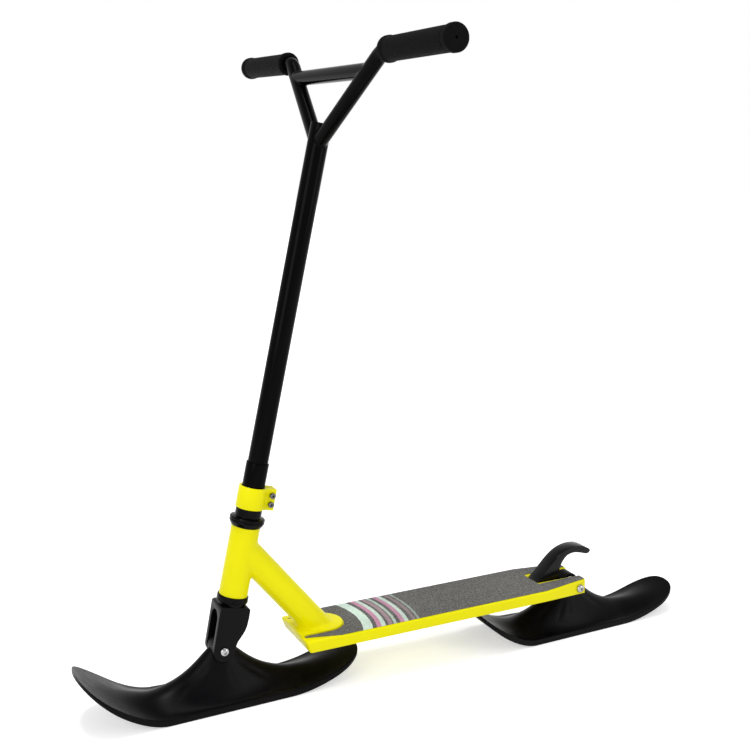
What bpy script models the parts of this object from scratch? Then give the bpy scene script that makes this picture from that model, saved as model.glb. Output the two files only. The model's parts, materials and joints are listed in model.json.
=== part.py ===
"""Snow scooter: a stunt scooter frame on two moulded skis.

The frame is in metres with +Z up. +X points to the front ski, +Y to the rider's left, and
the origin lies on the ground below the middle of the whole length. The head tube and all
that turns with the handlebar hang on empties that lean back by the head rake.
"""

import math

import bmesh
import bpy
from mathutils import Matrix, Vector

MM = 0.001
TOUCH_GAP = 0.3 * MM
SCREW_MERGE = 0.05 * MM
WELD_DISTANCE = 0.01 * MM
SHARP_ANGLE = math.radians(32)

# Frame geometry
HEAD_BASE = Vector((278.9 * MM, 0.0, 148.9 * MM))
HEAD_RAKE = math.radians(11.5)
FRONT_AXLE = Vector((298.8 * MM, 0.0, 76.8 * MM))
REAR_AXLE = Vector((-293.8 * MM, 0.0, 76.8 * MM))

# Deck, a folded channel that rises towards the back
DECK_FRONT_X = 188.0 * MM
DECK_FRONT_Z = 81.3 * MM
DECK_PITCH = math.radians(0.966)
DECK_LENGTH = 493.6 * MM
DECK_HALF_WIDTH = 50.3 * MM
DECK_TAPER_START = 411.0 * MM
DECK_REAR_HALF_WIDTH = 36.0 * MM
DECK_SHEET = 2.0 * MM
DECK_FOLD_WIDTH = 4.65 * MM
FLANGE_DEPTH_FRONT = 17.0 * MM
FLANGE_DEPTH_REAR = 23.5 * MM
FLANGE_CORNER_SLANT = 6.5 * MM
SLOT_LENGTH = 79.0 * MM
SLOT_HALF_WIDTH = 16.5 * MM

# Neck plate and tubes
PLATE_HALF_WIDTH = 30.0 * MM
PLATE_THICKNESS = 3.0 * MM
PLATE_FRONT = 0.6 * MM
PLATE_ROUND_CENTRE = 46.5 * MM
DOWN_TUBE_RADIUS = 20.25 * MM
DOWN_TUBE_WALL = 2.4 * MM
DOWN_TUBE_SLOPE = math.radians(50.2)
DOWN_TUBE_POINT = Vector((226.9 * MM, 0.0, 173.6 * MM))
HEAD_TUBE_RADIUS = 20.35 * MM
HEAD_TUBE_WALL = 2.6 * MM
HEAD_TUBE_BOTTOM = 3.0 * MM
HEAD_TUBE_TOP = 103.0 * MM

# Steerer, clamp and handlebar, measured up the steering axis from the head tube's foot
STEERER_RADIUS = 14.3 * MM
STEERER_WALL = 2.5 * MM
STEERER_TOP = 152.0 * MM
SLEEVE_RADIUS = 15.9 * MM
SLEEVE_TOP = 194.0 * MM
BAR_TUBE_WALL = 1.8 * MM
BAR_TUBE_BORE = STEERER_RADIUS - BAR_TUBE_WALL
BAR_TUBE_BOTTOM = 162.0 * MM
BAR_TUBE_TOP = 662.0 * MM
CLAMP_BOTTOM = 129.2 * MM
CLAMP_TOP = 160.0 * MM
CLAMP_RADIUS = 20.0 * MM
CLAMP_EAR_REACH = 32.0 * MM
CLAMP_EAR_HALF_WIDTH = 10.0 * MM
CLAMP_SLIT = 2.4 * MM
CLAMP_BOLT_REACH = 26.0 * MM
CLAMP_BOLT_RADIUS = 2.5 * MM
CLAMP_BOLT_HEIGHTS = {"clamp_bolt_lower": 138.2 * MM, "clamp_bolt_upper": 151.0 * MM}
BAR_RADIUS = 10.25 * MM
BAR_WALL = 1.8 * MM
BAR_HEIGHT = 750.0 * MM
BAR_UPSWEEP = math.radians(0.7)
BAR_BEND_RADIUS = 38.0 * MM
RISER_SLOPE = math.radians(38.66)
RISER_CORNER = 145.75 * MM
CROSSBAR_HEIGHT = 726.8 * MM
GRIP_INNER = 158.0 * MM
GRIP_OUTER = 321.0 * MM
GRIP_RADIUS = 15.1 * MM

# Fork
FORK_HALF_WIDTH = 20.0 * MM
FORK_SLOT_HALF_WIDTH = 12.6 * MM
FORK_TOP = -10.2 * MM
FORK_SLOT_TOP = -20.0 * MM
FORK_END_RADIUS = 15.5 * MM

# Skis, measured along from the axle
SKI_NOSE = 203.8 * MM
SKI_TAIL = 208.8 * MM
SKI_HALF_WIDTH = 49.0 * MM
SKI_TAPER = 0.042
SKI_FLAT_FRONT = 87.8 * MM
SKI_FLAT_REAR = 92.3 * MM
SKI_NOSE_RISE = 74.0 * MM
SKI_NOSE_POWER = 1.69
SKI_TAIL_RISE = 38.4 * MM
SKI_TAIL_POWER = 1.9
SKI_RIM = 10.0 * MM
SKI_END_RIM = 6.5 * MM
SKI_RIM_FADE = 0.72
SKI_EDGE = 2.0 * MM
SKI_CREST = 77.0 * MM
SKI_CREST_POWER = 1.84
SKI_CREST_REACH = (51.4 * MM, 48.5 * MM)
SKI_NOSE_CORNER = 54.4 * MM
SKI_NOSE_CORNER_POWER = 2.3
SKI_TAIL_CORNER = 52.0 * MM
SKI_TAIL_CORNER_POWER = 2.65
SKI_BOSS_RADIUS = 15.0 * MM
SKI_BOSS_HALF_WIDTH = 10.6 * MM
SKI_POCKET_RADIUS = 16.9 * MM
SKI_POCKET_OUTER = 40.0 * MM
SKI_BORE_RADIUS = 6.4 * MM
SKI_END_STATIONS = 7
SKI_MIDDLE_STATIONS = 25
SKI_TOP_POINTS = 19
SKI_SOLE_POINTS = 5

# Axles and small parts
AXLE_RADIUS = 4.0 * MM
AXLE_HEAD_RADIUS = 6.6 * MM
AXLE_NUT_RADIUS = 7.5 * MM
BUSH_RADIUS = 6.1 * MM
BRAKE_PIN_X = -236.6 * MM
BRAKE_PIN_DROP = 7.5 * MM
BRAKE_PIN_RADIUS = 2.5 * MM
BRAKE_HALF_WIDTH = 13.0 * MM
BRAKE_WALL = 2.6 * MM

YELLOW = ("lemon_paint", (0.88, 0.82, 0.01), 0.35, 0.0)
BLACK_PAINT = ("black_paint", (0.012, 0.011, 0.012), 0.3, 0.0)
BLACK_CAST = ("black_cast", (0.02, 0.02, 0.022), 0.45, 0.0)
BLACK_PLASTIC = ("black_plastic", (0.016, 0.015, 0.018), 0.38, 0.0)
BLACK_RUBBER = ("black_rubber", (0.018, 0.018, 0.02), 0.75, 0.0)
GRIP_SHEET = ("grit_sheet", (0.13, 0.13, 0.13), 0.95, 0.0)
STEEL = ("steel", (0.6, 0.6, 0.62), 0.3, 1.0)
BEARING_STEEL = ("bearing_steel", (0.5, 0.51, 0.53), 0.25, 1.0)
WHITE_NYLON = ("nylon", (0.75, 0.75, 0.72), 0.5, 0.0)


def remove_scene_objects():
    """Empty the scene of whatever the startup file holds."""
    for old in list(bpy.data.objects):
        bpy.data.objects.remove(old, do_unlink=True)


def new_collection(name):
    """A collection linked to the scene."""
    group = bpy.data.collections.new(name)
    bpy.context.scene.collection.children.link(group)
    return group


remove_scene_objects()
PARTS = new_collection("snow_scooter")
CUTTERS = new_collection("cutters")


# Materials, empties and placing

def paint(obj, finish):
    """Give an object its own Principled material."""
    kind, colour, roughness, metallic = finish
    mat = bpy.data.materials.new(obj.name + "_" + kind)
    mat.use_nodes = True
    shader = mat.node_tree.nodes["Principled BSDF"]
    shader.inputs["Base Color"].default_value = (*colour, 1.0)
    shader.inputs["Roughness"].default_value = roughness
    shader.inputs["Metallic"].default_value = metallic
    obj.data.materials.append(mat)


def pivot(name, location, tilt=0.0, parent=None):
    """An empty that carries pieces; tilt leans its Z axis back from the vertical."""
    empty = bpy.data.objects.new(name, None)
    empty.empty_display_size = 0.03
    empty.location = location
    empty.rotation_euler = (0.0, -tilt, 0.0)
    empty.parent = parent
    PARTS.objects.link(empty)
    return empty


def add_piece(name, mesh, finish, parent=None, location=(0, 0, 0), smooth=True):
    """Put a mesh into the object as a named piece."""
    obj = bpy.data.objects.new(name, mesh)
    obj.parent = parent
    obj.location = location
    PARTS.objects.link(obj)
    paint(obj, finish)
    if smooth:
        mesh.shade_smooth()
        mesh.set_sharp_from_angle(angle=SHARP_ANGLE)
    return obj


def boolean(target, mesh, operation, location=(0, 0, 0)):
    """Cut or join a piece with a mesh that is given in the piece's own space."""
    cutter = bpy.data.objects.new(target.name + "_" + operation.lower(), mesh)
    cutter.parent = target.parent
    cutter.location = Vector(target.location) + Vector(location)
    cutter.hide_render = True
    cutter.display_type = "WIRE"
    CUTTERS.objects.link(cutter)
    modifier = target.modifiers.new(operation.title(), "BOOLEAN")
    modifier.operation = operation
    modifier.solver = "EXACT"
    modifier.object = cutter
    return cutter


def cut(target, mesh, location=(0, 0, 0)):
    """Take a mesh out of a piece."""
    return boolean(target, mesh, "DIFFERENCE", location)


def round_edges(obj, width, segments=2, angle=40.0):
    """A small bevel on the sharp edges."""
    bevel = obj.modifiers.new("Bevel", "BEVEL")
    bevel.width = width
    bevel.segments = segments
    bevel.limit_method = "ANGLE"
    bevel.angle_limit = math.radians(angle)
    return bevel


# Basic meshes

AXIS_TURN = {"X": Matrix.Rotation(math.pi / 2, 4, "Y"),
             "Y": Matrix.Rotation(-math.pi / 2, 4, "X"),
             "Z": Matrix.Identity(4)}


def cylinder(radius, length, axis="Z", sides=24, centre=(0, 0, 0), end_radius=None):
    """A capped cylinder or cone about its own centre, along one axis."""
    bm = bmesh.new()
    far_radius = radius if end_radius is None else end_radius
    turn = Matrix.Translation(centre) @ AXIS_TURN[axis]
    bmesh.ops.create_cone(bm, cap_ends=True, segments=sides, radius1=radius,
                          radius2=far_radius, depth=length, matrix=turn)
    return finish_mesh(bm, "cylinder")


def block(size, centre=(0, 0, 0)):
    """A box."""
    bm = bmesh.new()
    place = Matrix.Translation(centre) @ Matrix.Diagonal((*size, 1.0))
    bmesh.ops.create_cube(bm, size=1.0, matrix=place)
    return finish_mesh(bm, "block")


def finish_mesh(bm, name):
    """Turn faces outwards and make a mesh."""
    bmesh.ops.recalc_face_normals(bm, faces=bm.faces)
    mesh = bpy.data.meshes.new(name)
    bm.to_mesh(mesh)
    bm.free()
    return mesh


def curve_mesh(data):
    """The evaluated mesh of a curve with its caps welded."""
    holder = bpy.data.objects.new("curve_holder", data)
    CUTTERS.objects.link(holder)
    depsgraph = bpy.context.evaluated_depsgraph_get()
    mesh = bpy.data.meshes.new_from_object(holder.evaluated_get(depsgraph))
    bpy.data.objects.remove(holder, do_unlink=True)
    bpy.data.curves.remove(data)
    bm = bmesh.new()
    bm.from_mesh(mesh)
    bmesh.ops.remove_doubles(bm, verts=bm.verts, dist=WELD_DISTANCE)
    bmesh.ops.recalc_face_normals(bm, faces=bm.faces)
    bm.to_mesh(mesh)
    bm.free()
    return mesh


def outline_mesh(outline, half_thickness, upright=True):
    """A flat outline given thickness: upright in XZ and thick along Y, or flat in XY."""
    data = bpy.data.curves.new("outline", "CURVE")
    data.dimensions = "2D"
    data.fill_mode = "BOTH"
    data.extrude = half_thickness
    add_polyline(data, [(x, y, 0.0) for x, y in outline], cyclic=True)
    mesh = curve_mesh(data)
    if upright:
        mesh.transform(Matrix.Rotation(math.pi / 2, 4, "X"))
    return mesh


def tube_mesh(points, radius, resolution=6):
    """A round bar along a path."""
    data = bpy.data.curves.new("tube", "CURVE")
    data.dimensions = "3D"
    data.bevel_depth = radius
    data.bevel_resolution = resolution
    data.use_fill_caps = True
    add_polyline(data, points, cyclic=False)
    return curve_mesh(data)


def add_polyline(data, points, cyclic):
    """A POLY spline through the points."""
    spline = data.splines.new("POLY")
    spline.points.add(len(points) - 1)
    for knot, point in zip(spline.points, points):
        knot.co = (*point, 1.0)
    spline.use_cyclic_u = cyclic


def arc(centre, radius, start, end, steps):
    """Points round an arc, with angles in degrees."""
    points = []
    for index in range(steps + 1):
        angle = math.radians(start + (end - start) * index / steps)
        points.append((centre[0] + radius * math.cos(angle),
                       centre[1] + radius * math.sin(angle)))
    return points


def turned(name, profile, finish, parent=None, location=(0, 0, 0), steps=32, ring=True):
    """A turned piece about Z: the profile runs down its outer side, from top to bottom."""
    mesh = bpy.data.meshes.new(name)
    count = len(profile)
    edges = [(i, i + 1) for i in range(count - 1)]
    if ring:
        edges.append((count - 1, 0))
    mesh.from_pydata([(r, 0.0, z) for r, z in profile], edges, [])
    obj = add_piece(name, mesh, finish, parent, location, smooth=False)
    screw = obj.modifiers.new("Screw", "SCREW")
    screw.steps = steps
    screw.render_steps = steps
    screw.use_merge_vertices = True
    screw.merge_threshold = SCREW_MERGE
    screw.use_smooth_shade = True
    return obj


def smooth_line(knots, steps):
    """A smooth curve through 2D knots, by the Catmull-Rom formula."""
    points = []
    last = len(knots) - 1
    for index in range(last):
        before = knots[max(index - 1, 0)]
        start, end = knots[index], knots[index + 1]
        after = knots[min(index + 2, last)]
        for step in range(steps):
            t = step / steps
            points.append(tuple(catmull_rom(before[k], start[k], end[k], after[k], t)
                                for k in (0, 1)))
    points.append(tuple(knots[last]))
    return points


def catmull_rom(before, start, end, after, t):
    """One coordinate of the Catmull-Rom curve."""
    slope_in = (end - before) / 2
    slope_out = (after - start) / 2
    rise = start - end
    return (start + slope_in * t + (-3 * rise - 2 * slope_in - slope_out) * t * t
            + (2 * rise + slope_in + slope_out) * t * t * t)


# Deck

def deck_width(distance):
    """Half width of the deck at a distance behind its front edge."""
    if distance <= DECK_TAPER_START:
        return DECK_HALF_WIDTH
    share = (distance - DECK_TAPER_START) / (DECK_LENGTH - DECK_TAPER_START)
    return DECK_HALF_WIDTH + (DECK_REAR_HALF_WIDTH - DECK_HALF_WIDTH) * share


def flange_depth(distance):
    """Depth of the folded edges, which deepens along the arms."""
    if distance <= DECK_TAPER_START:
        return FLANGE_DEPTH_FRONT
    share = (distance - DECK_TAPER_START) / (DECK_LENGTH - DECK_TAPER_START)
    return FLANGE_DEPTH_FRONT + (FLANGE_DEPTH_REAR - FLANGE_DEPTH_FRONT) * share


def make_deck(base):
    """The folded channel, closed at its front, open below and forked round the rear ski."""
    slot_start = DECK_LENGTH - SLOT_LENGTH
    left_edge = [(0.0, DECK_HALF_WIDTH), (DECK_TAPER_START, DECK_HALF_WIDTH),
                 (DECK_LENGTH, DECK_REAR_HALF_WIDTH)]
    slot_edge = [(DECK_LENGTH, SLOT_HALF_WIDTH), (slot_start, SLOT_HALF_WIDTH)]
    right_slot = [(x, -y) for x, y in reversed(slot_edge)]
    right_edge = [(x, -y) for x, y in reversed(left_edge)]
    outline = left_edge + slot_edge + right_slot + right_edge
    front_edge = len(outline) - 1
    folded = {0, 1, 3, 5, 7, 8, front_edge}

    bm = bmesh.new()
    top = [bm.verts.new((-x, y, 0.0)) for x, y in outline]
    bm.faces.new(top)
    low = []
    for index, (x, y) in enumerate(outline):
        slant = FLANGE_CORNER_SLANT if x == 0.0 else 0.0
        low.append(bm.verts.new((-x - slant, y, -flange_depth(x))))
    for index in folded:
        following = (index + 1) % len(outline)
        bm.faces.new((top[index], top[following], low[following], low[index]))
    for vert in [v for v in bm.verts if not v.link_faces]:
        bm.verts.remove(vert)
    bmesh.ops.recalc_face_normals(bm, faces=bm.faces)
    up_face = max(bm.faces, key=lambda face: len(face.verts))
    if up_face.normal.z < 0:
        bmesh.ops.reverse_faces(bm, faces=bm.faces)
    corners = {top[0], top[-1]}
    folds = [e for e in bm.edges if len(e.link_faces) == 2
             and (up_face in e.link_faces or corners & set(e.verts))]
    bmesh.ops.bevel(bm, geom=folds, offset=DECK_FOLD_WIDTH, offset_type="WIDTH", segments=3,
                    profile=0.5, affect="EDGES")
    mesh = bpy.data.meshes.new("deck")
    bm.to_mesh(mesh)
    bm.free()

    deck = add_piece("deck", mesh, YELLOW, base)
    shell = deck.modifiers.new("Solidify", "SOLIDIFY")
    shell.thickness = DECK_SHEET
    shell.offset = -1.0
    shell.use_even_offset = True
    axle = deck_place(REAR_AXLE)
    pin = deck_place(brake_pin_place())
    reach = 3 * DECK_HALF_WIDTH
    cut(deck, cylinder(AXLE_RADIUS + TOUCH_GAP, reach, "Y", 20), axle)
    inner_reach = 2 * (SLOT_HALF_WIDTH + 2 * DECK_SHEET)
    cut(deck, cylinder(BRAKE_PIN_RADIUS + TOUCH_GAP, inner_reach, "Y", 16), pin)


def deck_place(point):
    """A world point given in the deck's own tilted space."""
    turn = Matrix.Rotation(-DECK_PITCH, 3, "Y")
    return turn @ (Vector(point) - Vector((DECK_FRONT_X, 0.0, DECK_FRONT_Z)))


def brake_pin_place():
    """The brake's pivot, a little below the deck's top."""
    top = DECK_FRONT_Z + (DECK_FRONT_X - BRAKE_PIN_X) * math.tan(DECK_PITCH)
    return Vector((BRAKE_PIN_X, 0.0, top - BRAKE_PIN_DROP))


def make_grip_tape(base):
    """The gritted sheet, notched round the neck plate and the rear slot."""
    thickness = 0.9 * MM
    side_inset = 1.8 * MM
    margin = 1.5 * MM
    tip_back, shoulder_back = 5.5 * MM, 55.5 * MM
    tip_inner, tip_outer = 31.9 * MM, 35.4 * MM
    slot_start = DECK_LENGTH - SLOT_LENGTH - margin
    rear = DECK_LENGTH - 1.0 * MM
    notch_radius = PLATE_HALF_WIDTH + margin
    left = [(tip_back, tip_inner), (tip_back, tip_outer),
            (shoulder_back, DECK_HALF_WIDTH - side_inset),
            (DECK_TAPER_START, DECK_HALF_WIDTH - side_inset),
            (rear, deck_width(rear) - side_inset), (rear, SLOT_HALF_WIDTH + margin),
            (slot_start, SLOT_HALF_WIDTH + margin)]
    right = [(x, -y) for x, y in reversed(left)]
    notch = arc((PLATE_ROUND_CENTRE, 0.0), notch_radius, -90, 90, 14)
    outline = [(-x, y) for x, y in left + right + notch]
    mesh = outline_mesh(outline, thickness / 2, upright=False)
    lift = TOUCH_GAP * 0.7 + thickness / 2
    add_piece("grip_tape", mesh, GRIP_SHEET, base, (0, 0, lift), smooth=False)


def make_neck_plate(base):
    """The D shaped plate that spreads the down tube's load on the deck."""
    front = PLATE_FRONT
    outline = [(front, -PLATE_HALF_WIDTH)]
    outline += arc((PLATE_ROUND_CENTRE, 0.0), PLATE_HALF_WIDTH, -90, 90, 14)
    outline += [(front, PLATE_HALF_WIDTH)]
    mesh = outline_mesh([(-x, y) for x, y in outline], PLATE_THICKNESS / 2, upright=False)
    lift = TOUCH_GAP + PLATE_THICKNESS / 2
    plate = add_piece("neck_plate", mesh, YELLOW, base, (0, 0, lift))
    round_edges(plate, 0.8 * MM, 1)


# Frame tubes and headset

def pipe(name, radius, wall, bottom, top, finish, parent, steps=28):
    """A straight pipe standing on its parent's Z axis."""
    inner = radius - wall
    profile = [(radius, top), (radius, bottom), (inner, bottom), (inner, top)]
    return turned(name, profile, finish, parent, steps=steps)


def make_down_tube():
    """The sloping tube, mitred to the head tube and cut flat on the neck plate."""
    half_span = 190.0 * MM
    trim = 400.0 * MM
    lean = pivot("down_tube_line", DOWN_TUBE_POINT, DOWN_TUBE_SLOPE - math.pi / 2)
    tube = pipe("down_tube", DOWN_TUBE_RADIUS, DOWN_TUBE_WALL, -half_span, half_span,
                YELLOW, lean, 36)
    head_tube = cylinder(HEAD_TUBE_RADIUS + TOUCH_GAP, trim, "Z", 48)
    place_trim(cut(tube, head_tube), HEAD_BASE, -HEAD_RAKE)
    in_front = block((trim, trim, trim), (trim / 2, 0, 0))
    place_trim(cut(tube, in_front), HEAD_BASE, -HEAD_RAKE)
    plate_top = PLATE_THICKNESS + 2 * TOUCH_GAP
    below_plate = block((trim, trim, trim), (0, 0, plate_top - trim / 2))
    place_trim(cut(tube, below_plate), (DECK_FRONT_X, 0.0, DECK_FRONT_Z), DECK_PITCH)


def place_trim(cutter, location, lean):
    """Stand a cutter in the frame's own place instead of the cut piece's."""
    cutter.parent = None
    cutter.location = location
    cutter.rotation_euler = (0.0, lean, 0.0)


def make_headset(head, steering):
    """Cups and bearings in the head tube, and the races that turn with the steerer."""
    bore = STEERER_RADIUS + TOUCH_GAP
    low = HEAD_TUBE_BOTTOM - TOUCH_GAP
    high = HEAD_TUBE_TOP + TOUCH_GAP
    seat = 19.6 * MM
    flange = 24.75 * MM
    turned("lower_cup", [(22.0 * MM, low), (22.3 * MM, -0.5 * MM), (22.3 * MM, -5.2 * MM),
                         (seat, -5.2 * MM), (seat, -1.0 * MM), (bore, -1.0 * MM), (bore, low)],
           BLACK_PAINT, head, steps=26)
    bearing_ring("lower_bearing", -5.0 * MM, -1.3 * MM, head)
    turned("crown_race", [(seat + 2.3 * MM, -5.5 * MM), (20.4 * MM, -9.9 * MM),
                          (bore, -9.9 * MM), (bore, -5.5 * MM)], BLACK_PAINT, steering, steps=26)
    cup_top = 112.0 * MM
    turned("upper_cup", [(seat, cup_top), (flange - 0.6 * MM, cup_top), (flange, 111.0 * MM),
                         (flange, 108.6 * MM), (21.2 * MM, high), (bore, high),
                         (bore, 107.6 * MM), (seat, 107.6 * MM)], BLACK_PAINT, head, steps=28)
    bearing_ring("upper_bearing", 108.0 * MM, 111.8 * MM, head)
    turned("bearing_cover", [(18.0 * MM, 128.9 * MM), (18.5 * MM, 128.2 * MM),
                             (18.5 * MM, 117.0 * MM), (23.6 * MM, 116.2 * MM),
                             (flange, 115.2 * MM), (flange, 112.3 * MM),
                             (bore, 112.3 * MM), (bore, 128.9 * MM)],
           BLACK_PAINT, steering, steps=28)


def bearing_ring(name, bottom, top, parent):
    """A sealed bearing as one ring with chamfered races."""
    inner, outer, chamfer = 14.7 * MM, 19.3 * MM, 0.5 * MM
    profile = [(outer - chamfer, top), (outer, top - chamfer), (outer, bottom),
               (inner, bottom), (inner, top)]
    turned(name, profile, BEARING_STEEL, parent, steps=20)


# Steerer, clamp and handlebar

def make_steerer(steering):
    """The steerer with the star nut, cap and bolt that preload the headset."""
    inner = STEERER_RADIUS - STEERER_WALL
    pipe("steerer_tube", STEERER_RADIUS, STEERER_WALL, FORK_TOP + TOUCH_GAP, STEERER_TOP,
         BLACK_CAST, steering)
    cap_top = STEERER_TOP + 4.0 * MM
    shank = 3.0 * MM
    nut_top = 134.0 * MM
    hub = 5.0 * MM
    bore = shank + TOUCH_GAP
    rim = inner - TOUCH_GAP
    turned("star_nut", [(rim, nut_top), (hub, nut_top - 3 * MM), (hub, nut_top - 9 * MM),
                        (rim, nut_top - 6 * MM), (rim, nut_top - 8 * MM),
                        (hub, nut_top - 11 * MM), (bore, nut_top - 11 * MM),
                        (bore, nut_top - 1 * MM), (hub, nut_top - 1 * MM),
                        (inner - 1 * MM, nut_top + 1 * MM)], STEEL, steering, steps=12)
    turned("compression_cap", [(BAR_TUBE_BORE - 1.5 * MM, cap_top),
                               (BAR_TUBE_BORE - 0.5 * MM, cap_top - 1 * MM),
                               (BAR_TUBE_BORE - 0.5 * MM, STEERER_TOP + TOUCH_GAP),
                               (bore, STEERER_TOP + TOUCH_GAP), (bore, cap_top)],
           BLACK_CAST, steering, steps=20)
    head_low = cap_top + TOUCH_GAP
    head_high = head_low + 3.2 * MM
    bolt = turned("compression_bolt", [(0.0, head_high), (4.6 * MM, head_high),
                                       (5.4 * MM, head_low), (shank, head_low),
                                       (shank, nut_top - 14 * MM), (0.0, nut_top - 14 * MM)],
                  STEEL, steering, steps=14, ring=False)
    cut(bolt, cylinder(2.2 * MM, 4.0 * MM, "Z", 6), (0, 0, head_high))


def make_bar_tube(steering):
    """The tall tube and the slit sleeve that joins it to the steerer."""
    pipe("bar_tube", STEERER_RADIUS, BAR_TUBE_WALL, BAR_TUBE_BOTTOM, BAR_TUBE_TOP,
         BLACK_PAINT, steering)
    inner = STEERER_RADIUS + TOUCH_GAP
    bottom = CLAMP_BOTTOM + TOUCH_GAP
    chamfer = 0.5 * MM
    sleeve = turned("bar_sleeve", [(SLEEVE_RADIUS - chamfer, SLEEVE_TOP),
                                   (SLEEVE_RADIUS, SLEEVE_TOP - chamfer),
                                   (SLEEVE_RADIUS, bottom), (inner, bottom),
                                   (inner, SLEEVE_TOP)], BLACK_PAINT, steering)
    slit = block((SLEEVE_RADIUS, 1.6 * MM, 26 * MM), (-SLEEVE_RADIUS, 0, bottom + 12.5 * MM))
    cut(sleeve, slit)


def make_clamp(steering):
    """The split collar with two ears at the back, and its two socket screws."""
    bore = SLEEVE_RADIUS + TOUCH_GAP
    half_height = (CLAMP_TOP - CLAMP_BOTTOM) / 2
    middle = CLAMP_BOTTOM + half_height
    ear_angle = math.degrees(math.asin(CLAMP_EAR_HALF_WIDTH / CLAMP_RADIUS))
    outline = arc((0.0, 0.0), CLAMP_RADIUS, -180 + ear_angle, 180 - ear_angle, 34)
    outline += [(-CLAMP_EAR_REACH, CLAMP_EAR_HALF_WIDTH), (-CLAMP_EAR_REACH, -CLAMP_EAR_HALF_WIDTH)]
    mesh = outline_mesh(outline, half_height, upright=False)
    clamp = add_piece("clamp_collar", mesh, YELLOW, steering, (0, 0, middle))
    round_edges(clamp, 1.2 * MM, 1)
    cut(clamp, cylinder(bore, 3 * half_height, "Z", 32))
    cut(clamp, block((30 * MM, CLAMP_SLIT, 3 * half_height), (-30 * MM, 0, 0)))
    for name, height in CLAMP_BOLT_HEIGHTS.items():
        make_clamp_bolt(name, height, steering)
        hole = (-CLAMP_BOLT_REACH, 0.0, height - middle)
        shank_hole = CLAMP_BOLT_RADIUS + TOUCH_GAP
        cut(clamp, cylinder(shank_hole, 3 * CLAMP_EAR_HALF_WIDTH, "Y", 16), hole)


def make_clamp_bolt(name, height, steering):
    """A socket head screw across the ears, its head on the left."""
    head_low = CLAMP_EAR_HALF_WIDTH + TOUCH_GAP
    head_high = head_low + 4.2 * MM
    radius = 4.25 * MM
    socket = 2.0 * MM
    chamfer = 0.4 * MM
    shank = CLAMP_BOLT_RADIUS
    end = -CLAMP_EAR_HALF_WIDTH + 1 * MM
    profile = [(0.0, head_high), (radius - chamfer, head_high), (radius, head_high - chamfer),
               (radius, head_low), (shank, head_low), (shank, end), (0.0, end)]
    cross_bolt(name, profile, (-CLAMP_BOLT_REACH, 0.0, height), steering, socket, 16)


def cross_bolt(name, profile, location, parent, socket, steps):
    """A turned bolt laid along Y with its head to the left and a hexagon socket."""
    holder = pivot(name + "_line", location, 0.0, parent)
    holder.rotation_euler = (-math.pi / 2, 0.0, 0.0)
    bolt = turned(name, profile, STEEL, holder, steps=steps, ring=False)
    head_top = profile[0][1]
    depth = 2.4 * MM
    cut(bolt, cylinder(socket, 2 * depth, "Z", 6), (0, 0, head_top))


def riser_path(start, stop_before=0.0):
    """Centre line of the left riser: a straight leg, a bend and the grip's bar."""
    corner_y, corner_z = RISER_CORNER, BAR_HEIGHT
    turn = RISER_SLOPE - BAR_UPSWEEP
    tangent = BAR_BEND_RADIUS * math.tan(turn / 2)
    leg = corner_y - start
    points = [(0.0, start, corner_z - leg * math.tan(RISER_SLOPE))]
    bend_start = (corner_y - tangent * math.cos(RISER_SLOPE),
                  corner_z - tangent * math.sin(RISER_SLOPE))
    centre = (bend_start[0] + BAR_BEND_RADIUS * math.sin(RISER_SLOPE),
              bend_start[1] - BAR_BEND_RADIUS * math.cos(RISER_SLOPE))
    first = 90 + math.degrees(RISER_SLOPE)
    last = 90 + math.degrees(BAR_UPSWEEP)
    points += [(0.0, y, z) for y, z in arc(centre, BAR_BEND_RADIUS, first, last, 7)]
    end = GRIP_OUTER - stop_before
    points.append((0.0, end, bar_line_height(end)))
    return points


def bar_line_height(y):
    """Height of the grip's bar at a distance from the middle."""
    return BAR_HEIGHT + (y - RISER_CORNER) * math.tan(BAR_UPSWEEP)


def side_points(points, side):
    """The same path on the left (1) or on the right (-1)."""
    return [(x, side * y, z) for x, y, z in points]


def make_handlebar(steering):
    """Two bent risers mitred to the tall tube, and the crossbar between them."""
    inner = BAR_RADIUS - BAR_WALL
    crossbar_half = RISER_CORNER - (BAR_HEIGHT - CROSSBAR_HEIGHT) / math.tan(RISER_SLOPE)
    end_room = 4.0 * MM
    past_end = 3.0 * MM
    foot = 5.0 * MM
    trunk_length = 140.0 * MM
    crossbar = add_piece("crossbar", cylinder(BAR_RADIUS, 2 * crossbar_half, "Y", 16),
                         BLACK_PAINT, steering, (0, 0, CROSSBAR_HEIGHT))
    for side, label in ((1, "left"), (-1, "right")):
        path = side_points(riser_path(foot, end_room), side)
        riser = add_piece("riser_" + label, tube_mesh(path, BAR_RADIUS), BLACK_PAINT, steering)
        trunk_middle = (0, 0, BAR_TUBE_TOP - trunk_length / 4)
        trunk = cylinder(STEERER_RADIUS + TOUCH_GAP, trunk_length, "Z", 32, trunk_middle)
        cut(riser, trunk)
        bore_path = side_points(riser_path(foot - past_end, end_room - past_end), side)
        cut(riser, tube_mesh(bore_path, inner, 3))
        around = side_points(riser_path(6 * foot, end_room), side)
        cut(crossbar, tube_mesh(around, BAR_RADIUS + TOUCH_GAP, 6), (0, 0, -CROSSBAR_HEIGHT))
    cut(crossbar, cylinder(inner, 3 * crossbar_half, "Y", 12))


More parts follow.
